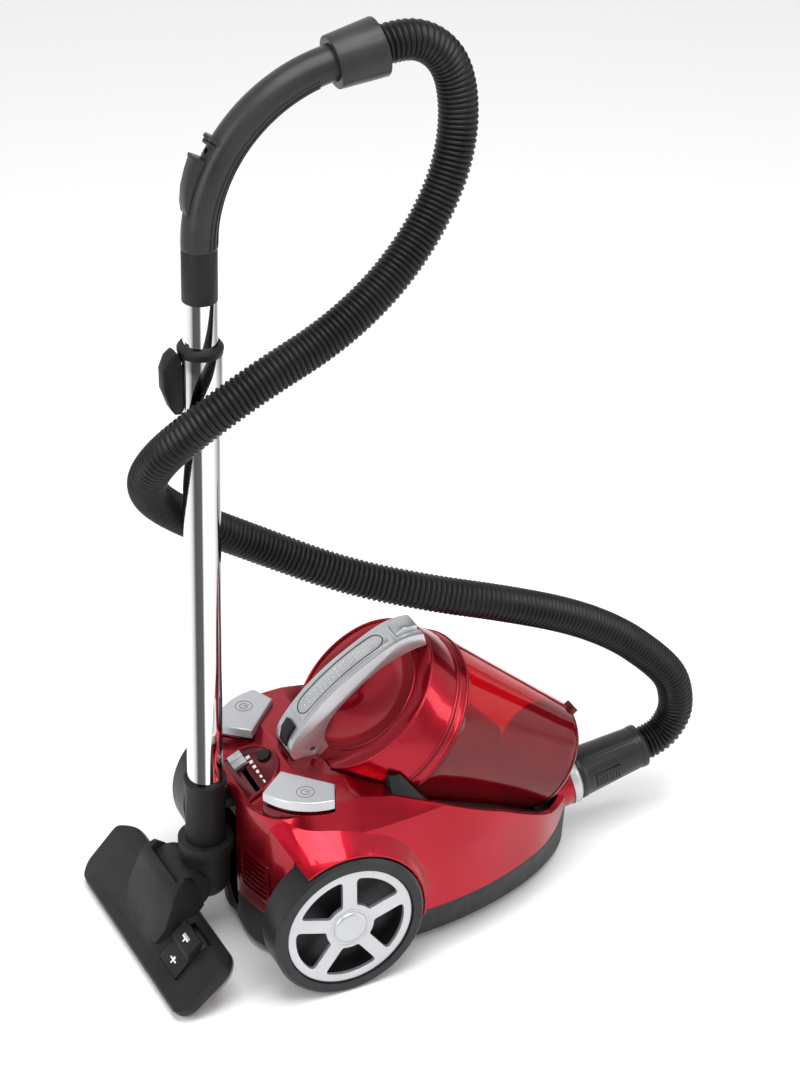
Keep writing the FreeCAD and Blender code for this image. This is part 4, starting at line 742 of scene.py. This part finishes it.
def make_wheel_disc(node, side):
    """Spoked disc with round-cornered windows."""
    rounding = 0.8
    curve = bpy.data.curves.new(node + "_outline", "CURVE")
    curve.dimensions = "2D"
    curve.fill_mode = "BOTH"
    curve.extrude = 1.7 * MM
    curve.bevel_depth = rounding * MM
    curve.bevel_resolution = 3
    curve.offset = -rounding * MM
    first_window = 90.0 + 180.0 / SPOKES
    loops = [[(DISC_RADIUS * math.cos(angle), DISC_RADIUS * math.sin(angle)) for angle in round_steps(96)]]
    loops += [window_outline(math.radians(first_window + 360.0 / SPOKES * number))
              for number in range(SPOKES)]
    for loop in loops:
        spline = curve.splines.new("POLY")
        spline.points.add(len(loop) - 1)
        for point, (x, y) in zip(spline.points, loop):
            point.co = (x * MM, y * MM, 0, 1)
        spline.use_cyclic_u = True
    holder = bpy.data.objects.new(node + "_outline", curve)
    bpy.context.scene.collection.objects.link(holder)
    mesh = bpy.data.meshes.new_from_object(holder)
    bpy.data.objects.remove(holder)
    upright = turn(90, "Y") @ turn(90, "Z")
    mesh.transform(MACHINE @ shift(side * DISC_X, 0, WHEEL_Z) @ Matrix.Scale(1 / MM, 4) @ upright)
    mesh.materials.clear()
    mesh.materials.append(MATERIALS["silver_plastic"])
    disc = bpy.data.objects.new(node + "_shaped", mesh)
    bpy.context.scene.collection.objects.link(disc)
    shade(mesh, 40.0)
    settle(disc, BODIES[node], node)


def make_wheel_cap(node, side):
    """Round cap in the middle of a wheel disc."""
    rings = []
    for radius, lift in CAP_PROFILE:
        rings.append([(side * (CAP_X + lift), radius * math.cos(angle), WHEEL_Z + radius * math.sin(angle))
                      for angle in round_steps(64)])
    verts, faces = skin(rings)
    settle(new_piece(node + "_cap", verts, faces, MACHINE, "silver_plastic", sharp=60.0), BODIES[node])


def window_outline(middle):
    """Window between two spokes, with rounded corners."""
    inner, outer, half_spoke, corner = 25.5, 57.5, 7.6, 6.0
    spread = math.pi / SPOKES
    corners = []
    for sign in (-1, 1):
        for radius in ((inner, outer) if sign < 0 else (outer, inner)):
            angle = sign * (spread - math.asin(half_spoke / radius))
            corners.append((radius, angle))
    (_, start_in), (_, start_out), (_, end_out), (_, end_in) = corners
    raw = [Vector((inner * math.cos(start_in), inner * math.sin(start_in)))]
    raw += [Vector((outer * math.cos(turned), outer * math.sin(turned)))
            for turned in (start_out + (end_out - start_out) * step / 10 for step in range(11))]
    raw += [Vector((inner * math.cos(turned), inner * math.sin(turned)))
            for turned in (end_in + (start_in - end_in) * step / 6 for step in range(6))]
    points = rounded(raw, corner)
    return [(x * math.cos(middle) - y * math.sin(middle), x * math.sin(middle) + y * math.cos(middle))
            for x, y in points]


def rounded(points, radius):
    """Closed outline with its sharp corners rounded."""
    result = []
    count = len(points)
    for index, corner in enumerate(points):
        before = points[index - 1] - corner
        after = points[(index + 1) % count] - corner
        bend = math.pi - before.angle(after)
        if bend < math.radians(25):
            result.append(tuple(corner))
            continue
        reach = min(radius * math.tan(bend / 2), 0.9 * before.length, 0.9 * after.length)
        start = corner + before.normalized() * reach
        stop = corner + after.normalized() * reach
        for step in range(7):
            part = step / 6
            near = start.lerp(corner, part).lerp(corner.lerp(stop, part), part)
            result.append(tuple(near))
    return result


for node, side in (("right_wheel_disc", -1), ("left_wheel_disc", 1)):
    make_wheel_disc(node, side)
    make_wheel_cap(node, side)


BEND_RADIUS = 153.4
BEND_START = 768.0
# The ribs under the grip: the turn of the bend where they start, and the turn that they run over.
RIBS_FROM = -2.0
RIBS_OVER = 74.0


def grip_spot(degrees, around, radius):
    """Point on the curved grip: turn of the bend, way round the grip from its inner side."""
    angle = math.radians(degrees)
    centre = Vector((0, -BEND_RADIUS * (1 - math.cos(angle)), BEND_START + BEND_RADIUS * math.sin(angle)))
    if degrees < 0:
        centre = Vector((0, 0, BEND_START + degrees))
        angle = 0.0
    inward = Vector((0, -math.cos(angle), -math.sin(angle)))
    turned = math.radians(around)
    return WAND @ (centre + (inward * math.cos(turned) + Vector((-1, 0, 0)) * math.sin(turned)) * radius)


def make_grip_ribs():
    for number, around in enumerate((-74, -55, -36, -12, 12, 36, 55, 74)):
        points = [grip_spot(RIBS_FROM + RIBS_OVER * step / 60, around, 16.6) for step in range(61)]
        bead("grip_rib_%d" % number, points, 0.9, "black_plastic", "upper_wand")


make_grip_ribs()


ROCKER_X = -72.0
PRINT_LIFT = 0.3


def make_rocker_marks():
    """Two white signs on the rocker: a brush for hard floors and a plain tee for carpet."""
    for name, middle, lift, tines in (("brush_sign", -58.5, 27.3, 5), ("carpet_sign", -34.0, 19.6, 1)):
        slope = -3.0 if tines == 5 else -5.2
        place = NOZZLE @ shift(ROCKER_X, middle, lift) @ turn(slope, "X")
        tile(name + "_bar", box_outline(-6.0, 0.6, 12.0, 1.5), PRINT_LIFT, place, "white_print", "rocker")
        tile(name + "_stem", box_outline(-0.9, 2.1, 1.8, 3.4), PRINT_LIFT, place, "white_print", "rocker")
        for number in range(tines):
            width = 1.0 if tines > 1 else 3.2
            x = -5.6 + 2.55 * number if tines > 1 else -1.6
            tine = box_outline(x, -2.0, width, 2.6)
            tile("%s_tine_%d" % (name, number), tine, PRINT_LIFT, place, "white_print", "rocker")


make_rocker_marks()

PORT = Vector((0, -315, 70))
PORT_RISE = math.radians(10.0)
CLIP_FACE_X = 25.9


def make_connector_ribs():
    """Finger ribs on the two release clips of the hose connector."""
    ahead = Vector((0, -math.cos(PORT_RISE), math.sin(PORT_RISE)))
    up = Vector((0, math.sin(PORT_RISE), math.cos(PORT_RISE)))
    start = PORT + ahead * 4.0
    for side, body in ((-1, "clip_right"), (1, "clip_left")):
        for number in range(7):
            foot = start + ahead * (21.0 + number * 3.6) + Vector((side * CLIP_FACE_X, 0, 0))
            points = [MACHINE @ (foot + up * level) for level in (-6.0, -3.0, 0.0, 3.0, 6.0)]
            bead("%s_rib_%d" % (body, number), points, 0.7, "dark_plastic", body)


make_connector_ribs()
